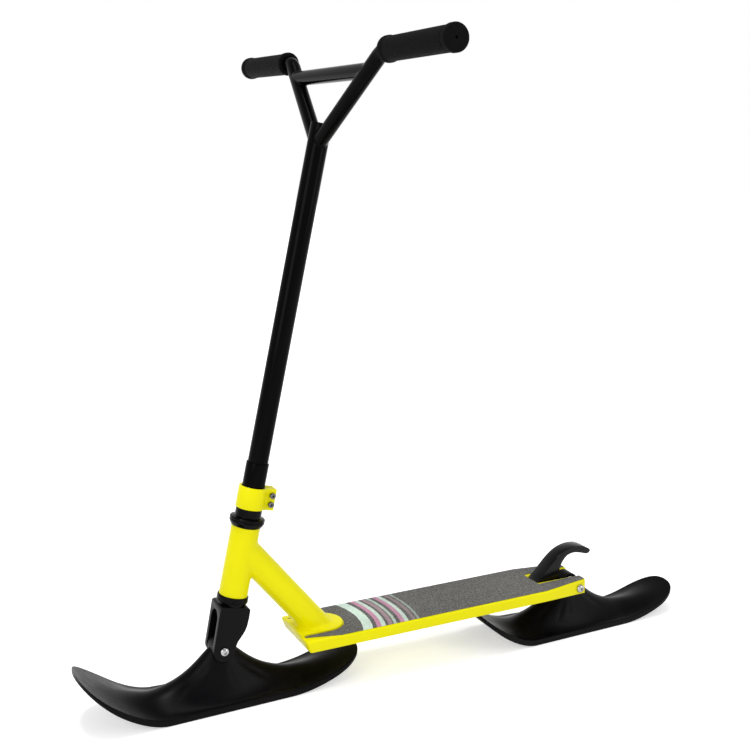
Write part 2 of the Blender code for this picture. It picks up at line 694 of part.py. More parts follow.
def make_grips(steering):
    """Moulded grips with a flange at each end and a small vent in the outer one."""
    length = GRIP_OUTER - GRIP_INNER
    bore = BAR_RADIUS + TOUCH_GAP
    end_wall = 3.4 * MM
    vent = 1.6 * MM
    flange = GRIP_RADIUS + 1.2 * MM
    profile = [(vent, length), (flange - 2.2 * MM, length), (flange - 0.6 * MM, length - 0.8 * MM),
               (flange, length - 2.4 * MM), (flange, length - 8.0 * MM),
               (GRIP_RADIUS, length - 10.5 * MM), (GRIP_RADIUS, 9.5 * MM),
               (flange, 7.5 * MM), (flange, 1.2 * MM), (flange - 1.2 * MM, 0.0),
               (bore, 0.0), (bore, length - end_wall), (vent, length - end_wall)]
    for side, label in ((1, "left"), (-1, "right")):
        line = pivot("grip_line_" + label,
                     (0.0, side * GRIP_INNER, bar_line_height(GRIP_INNER)), 0.0, steering)
        line.rotation_euler = (-side * (math.pi / 2 - BAR_UPSWEEP), 0.0, 0.0)
        turned("grip_" + label, profile, BLACK_RUBBER, line, steps=22)


# Fork

def make_fork(steering):
    """One cast block: a crown, a round topped slot and two arms down to the axle."""
    axle = steering_place(FRONT_AXLE)
    ax, az = axle.x, axle.z
    corner = 4.0 * MM
    front_x, rear_x = 22.0 * MM, -22.0 * MM
    outline = arc((front_x - corner, FORK_TOP - corner), corner, 0, 90, 3)
    outline += arc((rear_x + corner, FORK_TOP - corner), corner, 90, 180, 3)
    outline += [(-22.3 * MM, -24 * MM), (-21.6 * MM, -38 * MM), (-19.0 * MM, -46.5 * MM),
                (-12.3 * MM, -60.0 * MM)]
    outline += arc((ax, az), FORK_END_RADIUS, 168, 360, 18)
    mesh = outline_mesh(outline, FORK_HALF_WIDTH)
    fork = add_piece("fork", mesh, BLACK_CAST, steering)
    round_edges(fork, 1.8 * MM, 2, 50.0)
    slot_round = FORK_SLOT_TOP - FORK_SLOT_HALF_WIDTH
    slot = arc((0.0, slot_round), FORK_SLOT_HALF_WIDTH, 0, 180, 14)
    slot += [(-FORK_SLOT_HALF_WIDTH, -120 * MM), (FORK_SLOT_HALF_WIDTH, -120 * MM)]
    slot_mesh = outline_mesh(slot, 60 * MM)
    slot_mesh.transform(Matrix.Rotation(math.pi / 2, 4, "Z"))
    cut(fork, slot_mesh)
    cut(fork, cylinder(AXLE_RADIUS + TOUCH_GAP, 3 * FORK_HALF_WIDTH, "Y", 20), axle)


def steering_place(point):
    """A world point given in the steering's own space."""
    turn = Matrix.Rotation(HEAD_RAKE, 3, "Y")
    return turn @ (Vector(point) - HEAD_BASE)


# Skis

def ski_sole(s):
    """Height of the sole at a distance from the axle, positive to the nose."""
    if s > SKI_FLAT_FRONT:
        share = (s - SKI_FLAT_FRONT) / (SKI_NOSE - SKI_FLAT_FRONT)
        return SKI_NOSE_RISE * share ** SKI_NOSE_POWER
    if s < -SKI_FLAT_REAR:
        share = (-s - SKI_FLAT_REAR) / (SKI_TAIL - SKI_FLAT_REAR)
        return SKI_TAIL_RISE * share ** SKI_TAIL_POWER
    return 0.0


def end_fade(s, start):
    """A soft ramp from 0 to 1 over the ski's end, from a share of its length to the tip."""
    length = SKI_NOSE if s > 0 else SKI_TAIL
    share = min(max((abs(s) / length - start) / (1.0 - start), 0.0), 1.0)
    return share * share * (3.0 - 2.0 * share)


def ski_crest(s):
    """Height of the spine above the rim, which sweeps down from the axle boss."""
    reach = SKI_CREST_REACH[1] if s > 0 else SKI_CREST_REACH[0]
    height = SKI_CREST / (1.0 + (abs(s) / reach) ** SKI_CREST_POWER)
    return height * (1.0 - end_fade(s, 0.55))


def ski_rim(s):
    """Thickness of the edge, which thins towards both ends."""
    return SKI_RIM + (SKI_END_RIM - SKI_RIM) * end_fade(s, SKI_RIM_FADE)


def ski_end(corner, corner_power):
    """Stations of a rounded end: the distance past its start and the share of the width."""
    last_angle = math.radians(84.0)
    power = 2.0 / corner_power
    stations = []
    for index in range(1, SKI_END_STATIONS + 1):
        angle = last_angle * index / SKI_END_STATIONS
        along = math.sin(angle) ** power / math.sin(last_angle) ** power
        stations.append((corner * along, math.cos(angle) ** power))
    return stations


def ski_stations():
    """Distances along the ski with the half width at each, close together at the ends."""
    tail_inner = -(SKI_TAIL - SKI_TAIL_CORNER)
    nose_inner = SKI_NOSE - SKI_NOSE_CORNER
    tail = ski_end(SKI_TAIL_CORNER, SKI_TAIL_CORNER_POWER)
    nose = ski_end(SKI_NOSE_CORNER, SKI_NOSE_CORNER_POWER)
    stations = [(tail_inner - along, part) for along, part in reversed(tail)]
    for index in range(SKI_MIDDLE_STATIONS + 1):
        share = index / SKI_MIDDLE_STATIONS
        stations.append((tail_inner + (nose_inner - tail_inner) * share, 1.0))
    stations += [(nose_inner + along, part) for along, part in nose]
    return [(s, part * (SKI_HALF_WIDTH + SKI_TAPER * s)) for s, part in stations]


def ski_section(s, half_width):
    """A closed ring across the ski: the bell shaped top, the rim and the sole."""
    sole = ski_sole(s)
    rim = sole + ski_rim(s)
    crest = ski_crest(s)
    edge = min(SKI_EDGE, 0.4 * half_width)
    ring = []
    for index in range(SKI_TOP_POINTS):
        across = math.sin(math.pi / 2 * (2.0 * index / (SKI_TOP_POINTS - 1) - 1.0))
        bell = math.cos(math.pi / 2 * across) ** 2
        ring.append((s, across * half_width, rim + crest * bell))
    flat = half_width - edge
    ring.append((s, half_width, sole + SKI_EDGE))
    for index in range(SKI_SOLE_POINTS):
        across = 1.0 - 2.0 * index / (SKI_SOLE_POINTS - 1)
        ring.append((s, across * flat, sole))
    ring.append((s, -half_width, sole + SKI_EDGE))
    return ring


def ski_mesh():
    """The ski as a loft of its sections, with the axle at its own origin."""
    bm = bmesh.new()
    rings = []
    for s, half_width in ski_stations():
        ring = [bm.verts.new((x, y, z - FRONT_AXLE.z)) for x, y, z in ski_section(s, half_width)]
        rings.append(ring)
    count = len(rings[0])
    for ring, following in zip(rings, rings[1:]):
        for index in range(count):
            after = (index + 1) % count
            bm.faces.new((ring[index], ring[after], following[after], following[index]))
    bm.faces.new(rings[0])
    bm.faces.new(rings[-1])
    return finish_mesh(bm, "ski")


def make_ski(name, carrier):
    """One ski with its boss, the pockets beside it and the bore for the bush."""
    ski = add_piece(name, ski_mesh(), BLACK_PLASTIC, carrier)
    boss = cylinder(SKI_BOSS_RADIUS, 2 * SKI_BOSS_HALF_WIDTH, "Y", 32)
    boolean(ski, boss, "UNION")
    depth = SKI_POCKET_OUTER - SKI_BOSS_HALF_WIDTH
    for side in (1, -1):
        middle = (0, side * (SKI_BOSS_HALF_WIDTH + depth / 2), 0)
        cut(ski, cylinder(SKI_POCKET_RADIUS, depth, "Y", 32, middle))
    cut(ski, cylinder(SKI_BORE_RADIUS, 4 * SKI_BOSS_HALF_WIDTH, "Y", 20))


# Axles

def axle_bolt(name, reach, parent, location):
    """A button head bolt from the left side, its end past the nut on the right."""
    head_low = reach + TOUCH_GAP
    head_high = head_low + 4.4 * MM
    end = -reach - 8.5 * MM
    profile = [(0.0, head_high), (3.6 * MM, head_high), (5.4 * MM, head_high - 1.0 * MM),
               (AXLE_HEAD_RADIUS, head_low + 1.2 * MM), (AXLE_HEAD_RADIUS, head_low),
               (AXLE_RADIUS, head_low), (AXLE_RADIUS, end + 0.8 * MM),
               (AXLE_RADIUS - 0.8 * MM, end), (0.0, end)]
    socket = 2.9 * MM
    cross_bolt(name, profile, location, parent, socket, 16)


def axle_nut(name, reach, parent, location):
    """A hexagon nut against the right side."""
    height = 6.5 * MM
    middle = -(reach + TOUCH_GAP + height / 2)
    mesh = cylinder(AXLE_NUT_RADIUS, height, "Y", 6)
    spot = Vector(location) + Vector((0.0, middle, 0.0))
    nut = add_piece(name, mesh, STEEL, parent, spot)
    round_edges(nut, 0.6 * MM, 1)
    cut(nut, cylinder(AXLE_RADIUS + TOUCH_GAP, 2 * height, "Y", 16))


def ring_on_axle(name, radius, low, high, parent, location, finish, bore=AXLE_RADIUS):
    """A washer, spacer or bush round a crosswise axle, between two distances along Y."""
    holder = pivot(name + "_line", location, 0.0, parent)
    holder.rotation_euler = (-math.pi / 2, 0.0, 0.0)
    inner = bore + TOUCH_GAP
    profile = [(radius, high), (radius, low), (inner, low), (inner, high)]
    turned(name, profile, finish, holder, steps=18)


def make_front_axle(steering, ski_carrier):
    """Bolt, nut and washers in the fork, and the bush in the ski."""
    place = steering_place(FRONT_AXLE)
    axle_bolt("front_axle_bolt", FORK_HALF_WIDTH, steering, place)
    axle_nut("front_axle_nut", FORK_HALF_WIDTH, steering, place)
    inner = SKI_BOSS_HALF_WIDTH + TOUCH_GAP
    outer = FORK_SLOT_HALF_WIDTH - TOUCH_GAP
    for side, label in ((1, "left"), (-1, "right")):
        low, high = sorted((side * inner, side * outer))
        ring_on_axle("front_washer_" + label, 10.0 * MM, low, high, steering, place, WHITE_NYLON)
    ring_on_axle("front_ski_bush", BUSH_RADIUS, -SKI_BOSS_HALF_WIDTH, SKI_BOSS_HALF_WIDTH,
                 ski_carrier, (0, 0, 0), WHITE_NYLON)


def make_rear_axle(ski_carrier):
    """Bolt, nut and spacers in the deck's arms, and the bush in the ski."""
    distance = DECK_FRONT_X - REAR_AXLE.x
    width = deck_width(distance)
    seat = deck_width(distance - AXLE_NUT_RADIUS)
    axle_bolt("rear_axle_bolt", seat, None, REAR_AXLE)
    axle_nut("rear_axle_nut", seat, None, REAR_AXLE)
    inner_low = SKI_BOSS_HALF_WIDTH + TOUCH_GAP
    inner_high = SLOT_HALF_WIDTH - TOUCH_GAP
    arm_low = SLOT_HALF_WIDTH + DECK_SHEET + TOUCH_GAP
    arm_high = width - DECK_SHEET - 1.2 * MM
    for side, label in ((1, "left"), (-1, "right")):
        low, high = sorted((side * inner_low, side * inner_high))
        ring_on_axle("rear_spacer_" + label, 10.0 * MM, low, high, None, REAR_AXLE, WHITE_NYLON)
        low, high = sorted((side * arm_low, side * arm_high))
        ring_on_axle("arm_spacer_" + label, 7.0 * MM, low, high, None, REAR_AXLE, STEEL)
    ring_on_axle("rear_ski_bush", BUSH_RADIUS, -SKI_BOSS_HALF_WIDTH, SKI_BOSS_HALF_WIDTH,
                 ski_carrier, (0, 0, 0), WHITE_NYLON)


# Brake

# Knots of the lever's side view in millimetres from its pin: back, hooked tip and underside
BRAKE_BACK = [(12.1, -7.0), (7.8, 7.0), (-4.1, 19.0), (-22.6, 38.0),
              (-40.0, 50.4), (-59.2, 55.8), (-76.5, 55.3), (-88.5, 51.0)]
BRAKE_TIP = [(-93.9, 46.6), (-92.1, 42.4), (-86.1, 41.2)]
BRAKE_EDGE = [(-73.9, 44.6), (-61.1, 46.6), (-49.5, 43.9), (-42.1, 37.2),
              (-36.9, 28.0), (-32.7, 13.0), (-21.5, 1.0), (-4.5, -8.0)]
BRAKE_HOLLOW_INSET = 3.2
BRAKE_HOLLOW_BELOW = [(-85.5, -21.0), (12.5, -41.0)]


def brake_outline():
    """Side view of the lever, in the brake pivot's own space."""
    knots = smooth_line(BRAKE_BACK + BRAKE_TIP + BRAKE_EDGE, 3)
    return [(x * MM, z * MM) for x, z in knots]


def brake_hollow():
    """Side view of the hollow between the lever's walls, open to the rear and below."""
    inner = []
    for (x0, z0), (x1, z1) in zip(BRAKE_BACK[:-1], BRAKE_BACK[1:]):
        length = math.hypot(x1 - x0, z1 - z0)
        inner.append((x0 - (z1 - z0) / length * BRAKE_HOLLOW_INSET,
                      z0 + (x1 - x0) / length * BRAKE_HOLLOW_INSET))
    outline = smooth_line(inner, 3) + BRAKE_HOLLOW_BELOW
    return [(x * MM, z * MM) for x, z in outline]


def make_brake(carrier):
    """The hooked foot lever, hollow from below, with its pin and return spring."""
    mesh = outline_mesh(brake_outline(), BRAKE_HALF_WIDTH)
    lever = add_piece("brake_lever", mesh, BLACK_PLASTIC, carrier)
    round_edges(lever, 2.6 * MM, 1, 50.0)
    cut(lever, outline_mesh(brake_hollow(), BRAKE_HALF_WIDTH - BRAKE_WALL))
    cut(lever, cylinder(BRAKE_PIN_RADIUS + TOUCH_GAP, 4 * BRAKE_HALF_WIDTH, "Y", 16))
    make_brake_pin()
    make_brake_spring(carrier)


def make_brake_pin():
    """The lever's pivot pin, headed outside the slot's folded edges."""
    reach = SLOT_HALF_WIDTH + DECK_SHEET + TOUCH_GAP
    head = 1.6 * MM
    head_radius = 4.2 * MM
    profile = [(0.0, reach + head), (head_radius, reach + head), (head_radius, reach),
               (BRAKE_PIN_RADIUS, reach), (BRAKE_PIN_RADIUS, -reach),
               (head_radius, -reach), (head_radius, -reach - head), (0.0, -reach - head)]
    holder = pivot("brake_pin_line", brake_pin_place(), 0.0)
    holder.rotation_euler = (-math.pi / 2, 0.0, 0.0)
    turned("brake_pin", profile, STEEL, holder, steps=16, ring=False)


def make_brake_spring(carrier):
    """A torsion spring coiled round the pin, one leg under the lever's back."""
    coil_radius = 4.4 * MM
    wire = 0.7 * MM
    turns = 4
    half_span = 6.0 * MM
    per_turn = 9
    points = []
    steps = turns * per_turn
    for index in range(steps + 1):
        angle = math.radians(200.0) + 2 * math.pi * index / per_turn
        along = -half_span + 2 * half_span * index / steps
        points.append((coil_radius * math.cos(angle), along, coil_radius * math.sin(angle)))
    add_piece("brake_spring", tube_mesh(points, wire, 1), STEEL, carrier)


def build():
    """Make every piece and hang it on its carrier."""
    head = pivot("head_axis", HEAD_BASE, HEAD_RAKE)
    steering = pivot("steering_axis", HEAD_BASE, HEAD_RAKE)
    base = pivot("deck_front", (DECK_FRONT_X, 0.0, DECK_FRONT_Z), -DECK_PITCH)
    front_ski = pivot("front_ski_axis", steering_place(FRONT_AXLE), -HEAD_RAKE, steering)
    rear_ski = pivot("rear_ski_axis", REAR_AXLE)
    brake = pivot("brake_axis", brake_pin_place())

    make_deck(base)
    make_grip_tape(base)
    make_neck_plate(base)
    pipe("head_tube", HEAD_TUBE_RADIUS, HEAD_TUBE_WALL, HEAD_TUBE_BOTTOM, HEAD_TUBE_TOP,
         YELLOW, head, 40)
    make_down_tube()
    make_headset(head, steering)
    make_steerer(steering)
    make_bar_tube(steering)
    make_clamp(steering)
    make_handlebar(steering)
    make_grips(steering)
    make_fork(steering)
    make_ski("front_ski", front_ski)
    make_ski("rear_ski", rear_ski)
    make_front_axle(steering, front_ski)
    make_rear_axle(rear_ski)
    make_brake(brake)


build()
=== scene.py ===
"""Looks of the snow scooter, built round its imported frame.

Everything is in metres in the frame's own axes: +X to the front ski, +Y to the rider's left
and +Z up. Pieces are finer copies of the frame's solids, with welds, creases and finishes.
"""

import json
from math import asin, copysign, cos, degrees, exp, hypot, pi, radians, sin, sqrt, tan

import bmesh
import bpy
from mathutils import Matrix, Vector


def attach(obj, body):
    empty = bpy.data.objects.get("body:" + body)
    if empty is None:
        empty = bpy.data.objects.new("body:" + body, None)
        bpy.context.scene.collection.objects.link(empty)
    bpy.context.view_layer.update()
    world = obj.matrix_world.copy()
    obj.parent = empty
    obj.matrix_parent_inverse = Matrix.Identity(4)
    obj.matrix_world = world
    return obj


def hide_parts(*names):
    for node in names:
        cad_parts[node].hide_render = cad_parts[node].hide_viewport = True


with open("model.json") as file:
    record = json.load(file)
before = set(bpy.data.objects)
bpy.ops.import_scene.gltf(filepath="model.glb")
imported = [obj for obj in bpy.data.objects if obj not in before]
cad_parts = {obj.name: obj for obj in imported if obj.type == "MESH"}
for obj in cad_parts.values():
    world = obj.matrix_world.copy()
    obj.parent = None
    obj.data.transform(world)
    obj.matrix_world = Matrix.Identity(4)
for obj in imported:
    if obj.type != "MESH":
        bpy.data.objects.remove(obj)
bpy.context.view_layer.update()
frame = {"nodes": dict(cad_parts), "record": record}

MM = 0.001
GAP = 0.3 * MM
MERGE_DISTANCE = 1e-8
LEFT_AND_RIGHT = ((1, "left"), (-1, "right"))

# Camera, solved from the photo's straight lines: its heading, tilt and roll in degrees
CAMERA_PLACE = (0.7565, 1.3939, 0.7720)
CAMERA_TURNS = ((153.4917, "Z"), (78.2534, "X"), (0.8702, "Z"))
CAMERA_LENS = 53.282
SENSOR_WIDTH = 36

# Frame geometry, as in the solids
HEAD_BASE = Vector((278.9 * MM, 0, 148.9 * MM))
HEAD_RAKE = radians(11.5)
FRONT_AXLE = Vector((298.8 * MM, 0, 76.8 * MM))
REAR_AXLE = Vector((-293.8 * MM, 0, 76.8 * MM))
DECK_FRONT = Vector((188 * MM, 0, 81.3 * MM))
DECK_PITCH = radians(0.966)
DECK_LENGTH = 493.6 * MM
DECK_HALF_WIDTH = 50.3 * MM
TAPER_START = 411 * MM
DECK_REAR_HALF_WIDTH = 36 * MM
DECK_SHEET = 2 * MM
DECK_FOLD_WIDTH = 4.65 * MM
FLANGE_DEPTH_FRONT = 17 * MM
FLANGE_DEPTH_REAR = 23.5 * MM
FLANGE_CORNER_SLANT = 6.5 * MM
SLOT_LENGTH = 79 * MM
SLOT_HALF_WIDTH = 16.5 * MM
PLATE_HALF_WIDTH = 30 * MM
PLATE_THICKNESS = 3 * MM
PLATE_FRONT = 0.6 * MM
PLATE_ROUND_CENTRE = 46.5 * MM
DOWN_TUBE_RADIUS = 20.25 * MM
DOWN_TUBE_SLOPE = radians(50.2)
DOWN_TUBE_POINT = Vector((226.9 * MM, 0, 173.6 * MM))
HEAD_TUBE_RADIUS = 20.35 * MM
HEAD_TUBE_BOTTOM = 3 * MM
HEAD_TUBE_TOP = 103 * MM
STEERER_RADIUS = 14.3 * MM
SLEEVE_RADIUS = 15.9 * MM
SLEEVE_TOP = 194 * MM
BAR_TUBE_BOTTOM = 162 * MM
BAR_TUBE_TOP = 662 * MM
CLAMP_BOTTOM = 129.2 * MM
CLAMP_TOP = 160 * MM
CLAMP_RADIUS = 20 * MM
EAR_REACH = 32 * MM
EAR_HALF_WIDTH = 10 * MM
EAR_SLIT = 2.4 * MM
BOLT_RADIUS = 2.5 * MM
BOLT_REACH = 26 * MM
BOLT_HEIGHTS = {"clamp_bolt_lower": 138.2 * MM, "clamp_bolt_upper": 151 * MM}
BAR_RADIUS = 10.25 * MM
TUBE_WALL = 1.8 * MM
BAR_HEIGHT = 750 * MM
BAR_UPSWEEP = radians(0.7)
BAR_BEND_RADIUS = 38 * MM
RISER_SLOPE = radians(38.66)
RISER_CORNER = 145.75 * MM
CROSSBAR_HEIGHT = 726.8 * MM
GRIP_INNER = 158 * MM
GRIP_OUTER = 321 * MM
GRIP_RADIUS = 15.1 * MM
FORK_HALF_WIDTH = 20 * MM
FORK_SLOT_HALF_WIDTH = 12.6 * MM
FORK_TOP = -10.2 * MM
FORK_SLOT_TOP = -20 * MM
FORK_END_RADIUS = 15.5 * MM
AXLE_RADIUS = 4 * MM
AXLE_HEAD_RADIUS = 6.6 * MM
AXLE_NUT_RADIUS = 7.5 * MM

# Skis, with the sizes of each end measured from the axle
NOSE = dict(length=203.8 * MM, flat=87.8 * MM, rise=74 * MM, power=1.69,
            crest_reach=48.5 * MM, corner=54.4 * MM, corner_power=2.3)
TAIL = dict(length=208.8 * MM, flat=92.3 * MM, rise=38.4 * MM, power=1.9,
            crest_reach=51.4 * MM, corner=52 * MM, corner_power=2.65)
SKI_HALF_WIDTH = 49 * MM
SKI_TAPER = 0.042
SKI_RIM = 10 * MM
SKI_END_RIM = 6.5 * MM
SKI_RIM_FADE = 0.72
SKI_EDGE = 2 * MM
SKI_EDGE_SHARE = 0.3
SKI_CREST = 77 * MM
SKI_CREST_POWER = 1.84
SKI_CREST_FADE = 0.55
BOSS_RADIUS = 15 * MM
BOSS_HALF_WIDTH = 10.6 * MM
POCKET_RADIUS = 16.9 * MM
POCKET_OUTER = 40 * MM
BORE_RADIUS = 6.4 * MM

# Creases that fan out from the axle: direction in degrees from straight down, positive to
# the nose, then where each starts and ends in millimetres and its share of the depth
SKI_CREASES = [(12, 22, 60, 0.8), (30, 22, 74, 1), (49, 24, 96, 1.2), (65, 34, 122, 0.8),
               (-14, 22, 58, 0.8), (-31, 22, 72, 1), (-48, 24, 92, 1.2), (-64, 30, 126, 0.9)]
CREASE_DEPTH = 2.2 * MM
CREASE_WIDTH = 1.26 * MM
CREASE_WIDENING = 0.023625
CREASE_RAMP = 10 * MM
CREASE_BOW = 0.75
CREASE_FADE = 0.55

# Brake lever, its knots in millimetres from the pin: back, hooked tip and underside
BRAKE_PIN_X = -236.6 * MM
BRAKE_PIN_DROP = 7.5 * MM
BRAKE_PIN_RADIUS = 2.5 * MM
BRAKE_HALF_WIDTH = 13 * MM
BRAKE_WALL = 2.6 * MM
BRAKE_BACK = [(12.1, -7), (7.8, 7), (-4.1, 19), (-22.6, 38),
              (-40, 50.4), (-59.2, 55.8), (-76.5, 55.3), (-88.5, 51)]
BRAKE_TIP = [(-93.9, 46.6), (-92.1, 42.4), (-86.1, 41.2)]
BRAKE_EDGE = [(-73.9, 44.6), (-61.1, 46.6), (-49.5, 43.9), (-42.1, 37.2),
              (-36.9, 28), (-32.7, 13), (-21.5, 1), (-4.5, -8)]
BRAKE_HOLLOW_INSET = 3.2
BRAKE_HOLLOW_BELOW = [(-85.5, -21), (12.5, -41)]

# Stripes on the grit sheet: colour, how fully it covers the grit, and radius from and to in
# millimetres about a centre on the deck's line
MINT = (0.73, 0.89, 0.78)
PINK = (0.71, 0.33, 0.49)
DULL_PINK = (0.48, 0.33, 0.37)
STRIPE_CENTRE_X = 207.5 * MM
STRIPES = [(MINT, 1, 119.5, 134.1), (PINK, 0.9, 140.3, 147.3), (MINT, 0.9, 147.3, 153.8),
           (DULL_PINK, 0.8, 158, 164.5), (MINT, 0.7, 166.4, 171), (PINK, 0.8, 176.8, 183.5),
           (MINT, 0.85, 183.5, 189.8), (DULL_PINK, 0.55, 195.5, 201), (MINT, 0.42, 203.6, 207.6)]

# Studio: strengths of the unseen and the seen light, and where the seen light changes
AMBIENT_LIGHT = 0.5
CEILING = 0.3
CEILING_RISE = (0.31, 0.77)
FLOOR_REACH = 12
FLOOR_DROP = 0.2 * MM
FLOOR_LIFT = 0.5
FLOOR_FADE = (0.8, 2.2)

shift = Matrix.Translation
spin = Matrix.Rotation

# Places: the steering's space, the deck's space, the brake's pin and a rod laid across
STEERING = shift(HEAD_BASE) @ spin(-HEAD_RAKE, 4, "Y")
DECK = shift(DECK_FRONT) @ spin(DECK_PITCH, 4, "Y")
BRAKE_PIN_RISE = (DECK_FRONT.x - BRAKE_PIN_X) * tan(DECK_PITCH)
BRAKE_PIN = Vector((BRAKE_PIN_X, 0, DECK_FRONT.z + BRAKE_PIN_RISE - BRAKE_PIN_DROP))
ACROSS = spin(-pi / 2, 4, "X")
WORLD = Matrix.Identity(4)


# Mesh tools

def mesh_of(points, faces):
    """A mesh with equal points merged and its faces turned outwards."""
    mesh = bpy.data.meshes.new("mesh")
    mesh.from_pydata([tuple(p) for p in points], [], faces)
    bm = bmesh.new()
    bm.from_mesh(mesh)
    bmesh.ops.remove_doubles(bm, verts=bm.verts, dist=MERGE_DISTANCE)
    bmesh.ops.recalc_face_normals(bm, faces=bm.faces)
    bm.to_mesh(mesh)
    bm.free()
    return mesh


def loft(rings, closed=False, capped=True):
    """A skin over rings of points, closed into a loop or with its ends capped or open."""
    count = len(rings[0])
    starts = [index * count for index in range(len(rings))]
    following = starts[1:] + starts[:1] if closed else starts[1:]
    faces = []
    for near, far in zip(starts, following):
        for step in range(count):
            after = (step + 1) % count
            faces.append([near + step, near + after, far + after, far + step])
    if capped and not closed:
        faces += [list(range(start, start + count)) for start in (0, starts[-1])]
    return mesh_of([point for ring in rings for point in ring], faces)


def full_turn(steps):
    """Angles at equal steps round a circle."""
    return [2 * pi * step / steps for step in range(steps)]


def lathe(profile, steps=96, closed=True):
    """Revolve (radius, height) points about Z: down the outer side and back up inside."""
    rings = [[(radius * cos(angle), radius * sin(angle), height)
              for angle in full_turn(steps)] for radius, height in profile]
    return loft(rings, closed, False)


def in_metres(points):
    """Points that were given in millimetres."""
    return [tuple(value * MM for value in point) for point in points]


def curve(start, corner, end, steps):
    """Points of a curve that rounds a corner."""
    shares = [step / steps for step in range(steps + 1)]
    return [start * (1 - t) ** 2 + corner * 2 * t * (1 - t) + end * t * t for t in shares]


def eased(points, radius, steps=4, closed=True):
    """Round the corners of a polyline of 2D points."""
    most_of_side = 0.45
    count = len(points)
    result = []
    for index, here in enumerate(points):
        if not closed and index in (0, count - 1):
            result.append(here)
            continue
        corner = Vector(here)
        before = Vector(points[index - 1]) - corner
        after = Vector(points[(index + 1) % count]) - corner
        reach = min(radius, most_of_side * min(before.length, after.length))
        start = corner + before.normalized() * reach
        end = corner + after.normalized() * reach
        result += [tuple(point) for point in curve(start, corner, end, steps)]
    return result


def arc(centre, radius, start, end, steps):
    """Points round an arc, with angles in degrees."""
    angles = [radians(start + (end - start) * index / steps) for index in range(steps + 1)]
    return [(centre[0] + radius * cos(angle), centre[1] + radius * sin(angle))
            for angle in angles]


def prism(outline, half, upright=True):
    """A flat outline given thickness: upright in XZ and thick along Y, or flat in XY."""
    if upright:
        rings = [[(x, side, z) for x, z in outline] for side in (-half, half)]
    else:
        rings = [[(x, y, side) for x, y in outline] for side in (-half, half)]
    return loft(rings)


def sweep(points, radius, sides):
    """A round bar along a path."""
    path = [Vector(point) for point in points]
    last = len(path) - 1
    normal = (path[1] - path[0]).orthogonal()
    rings = []
    for index, spot in enumerate(path):
        tangent = (path[min(index + 1, last)] - path[max(index - 1, 0)]).normalized()
        normal = (normal - tangent * normal.dot(tangent)).normalized()
        other = tangent.cross(normal)
        rings.append([spot + (normal * cos(angle) + other * sin(angle)) * radius
                      for angle in full_turn(sides)])
    return loft(rings)


def added(name, data):
    """A new object in the scene."""
    obj = bpy.data.objects.new(name, data)
    bpy.context.scene.collection.objects.link(obj)
    return obj


def modified(mesh, kind, **settings):
    """A mesh as one modifier leaves it."""
    holder = added("holder", mesh)
    modifier = holder.modifiers.new(kind, kind)
    for key, value in settings.items():
        setattr(modifier, key, value)
    depsgraph = bpy.context.evaluated_depsgraph_get()
    result = bpy.data.meshes.new_from_object(holder.evaluated_get(depsgraph))
    bpy.data.objects.remove(holder, do_unlink=True)
    return result


def carve(mesh, cutter, operation="DIFFERENCE"):
    """Cut a mesh with another, or join the two."""
    tool = added("tool", cutter)
    result = modified(mesh, "BOOLEAN", operation=operation, solver="EXACT", object=tool)
    bpy.data.objects.remove(tool, do_unlink=True)
    return result


def bevelled(mesh, width, segments, angle):
    """A mesh with its sharp edges rounded."""
    return modified(mesh, "BEVEL", width=width, segments=segments, limit_method="ANGLE",
                    angle_limit=radians(angle))


def rod(radius, length, sides, centre=(0, 0, 0), turn=ACROSS):
    """A solid cylinder, laid across unless it is turned otherwise."""
    half = length / 2
    mesh = lathe([(0, half), (radius, half), (radius, -half), (0, -half)], sides, False)
    mesh.transform(shift(centre) @ turn)
    return mesh


def drilled(mesh, radius, length, sides, centre=(0, 0, 0), turn=ACROSS):
    """A mesh with a rod cut out of it."""
    return carve(mesh, rod(radius, length, sides, centre, turn))


def block(size, centre=(0, 0, 0)):
    """A box."""
    x, y, z = [length / 2 for length in size]
    mesh = prism([(-x, -y), (x, -y), (x, y), (-x, y)], z, upright=False)
    mesh.transform(shift(centre))
    return mesh


def smooth_line(knots, steps=6):
    """A smooth curve through 2D knots."""
    places = [Vector(knot) for knot in knots]
    last = len(places) - 1
    points = []
    for index in range(last):
        before, start = places[max(index - 1, 0)], places[index]
        end, after = places[index + 1], places[min(index + 2, last)]
        slope_in, slope_out, drop = (end - before) / 2, (after - start) / 2, start - end
        for step in range(steps):
            t = step / steps
            points.append(start + slope_in * t - (drop * 3 + slope_in * 2 + slope_out) * t * t
                          + (drop * 2 + slope_in + slope_out) * t * t * t)
    return [tuple(point) for point in points] + [knots[last]]


def smoothstep(value):
    """A soft ramp from 0 to 1."""
    t = min(max(value, 0), 1)
    return t * t * (3 - 2 * t)


# Material tools

def node(holder, kind, values, **settings):
    """The outputs of a new node, each of its sockets set to a value or linked."""
    made = holder.node_tree.nodes.new("ShaderNode" + kind)
    for key, value in settings.items():
        setattr(made, key, value)
    for socket, value in values.items():
        if isinstance(value, bpy.types.NodeSocket):
            holder.node_tree.links.new(value, made.inputs[socket])
        else:
            made.inputs[socket].default_value = value
    return made.outputs


def new_material(name, **sockets):
    """A Principled material with constant values for its sockets."""
    mat = bpy.data.materials.new(name)
    mat.use_nodes = True
    shader = mat.node_tree.nodes["Principled BSDF"]
    for key, value in sockets.items():
        shader.inputs[key.replace("_", " ")].default_value = value
    return mat


def feed(mat, socket, source):
    """Link an output to one of the shader's sockets."""
    mat.node_tree.links.new(source, mat.node_tree.nodes["Principled BSDF"].inputs[socket])


def coordinates(mat, stretch=(1, 1, 1)):
    """The piece's own coordinates in metres, scaled along each axis."""
    source = node(mat, "TexCoord", {})["Object"]
    values = {"Vector": source, "Scale": stretch}
    return node(mat, "Mapping", values)["Vector"]


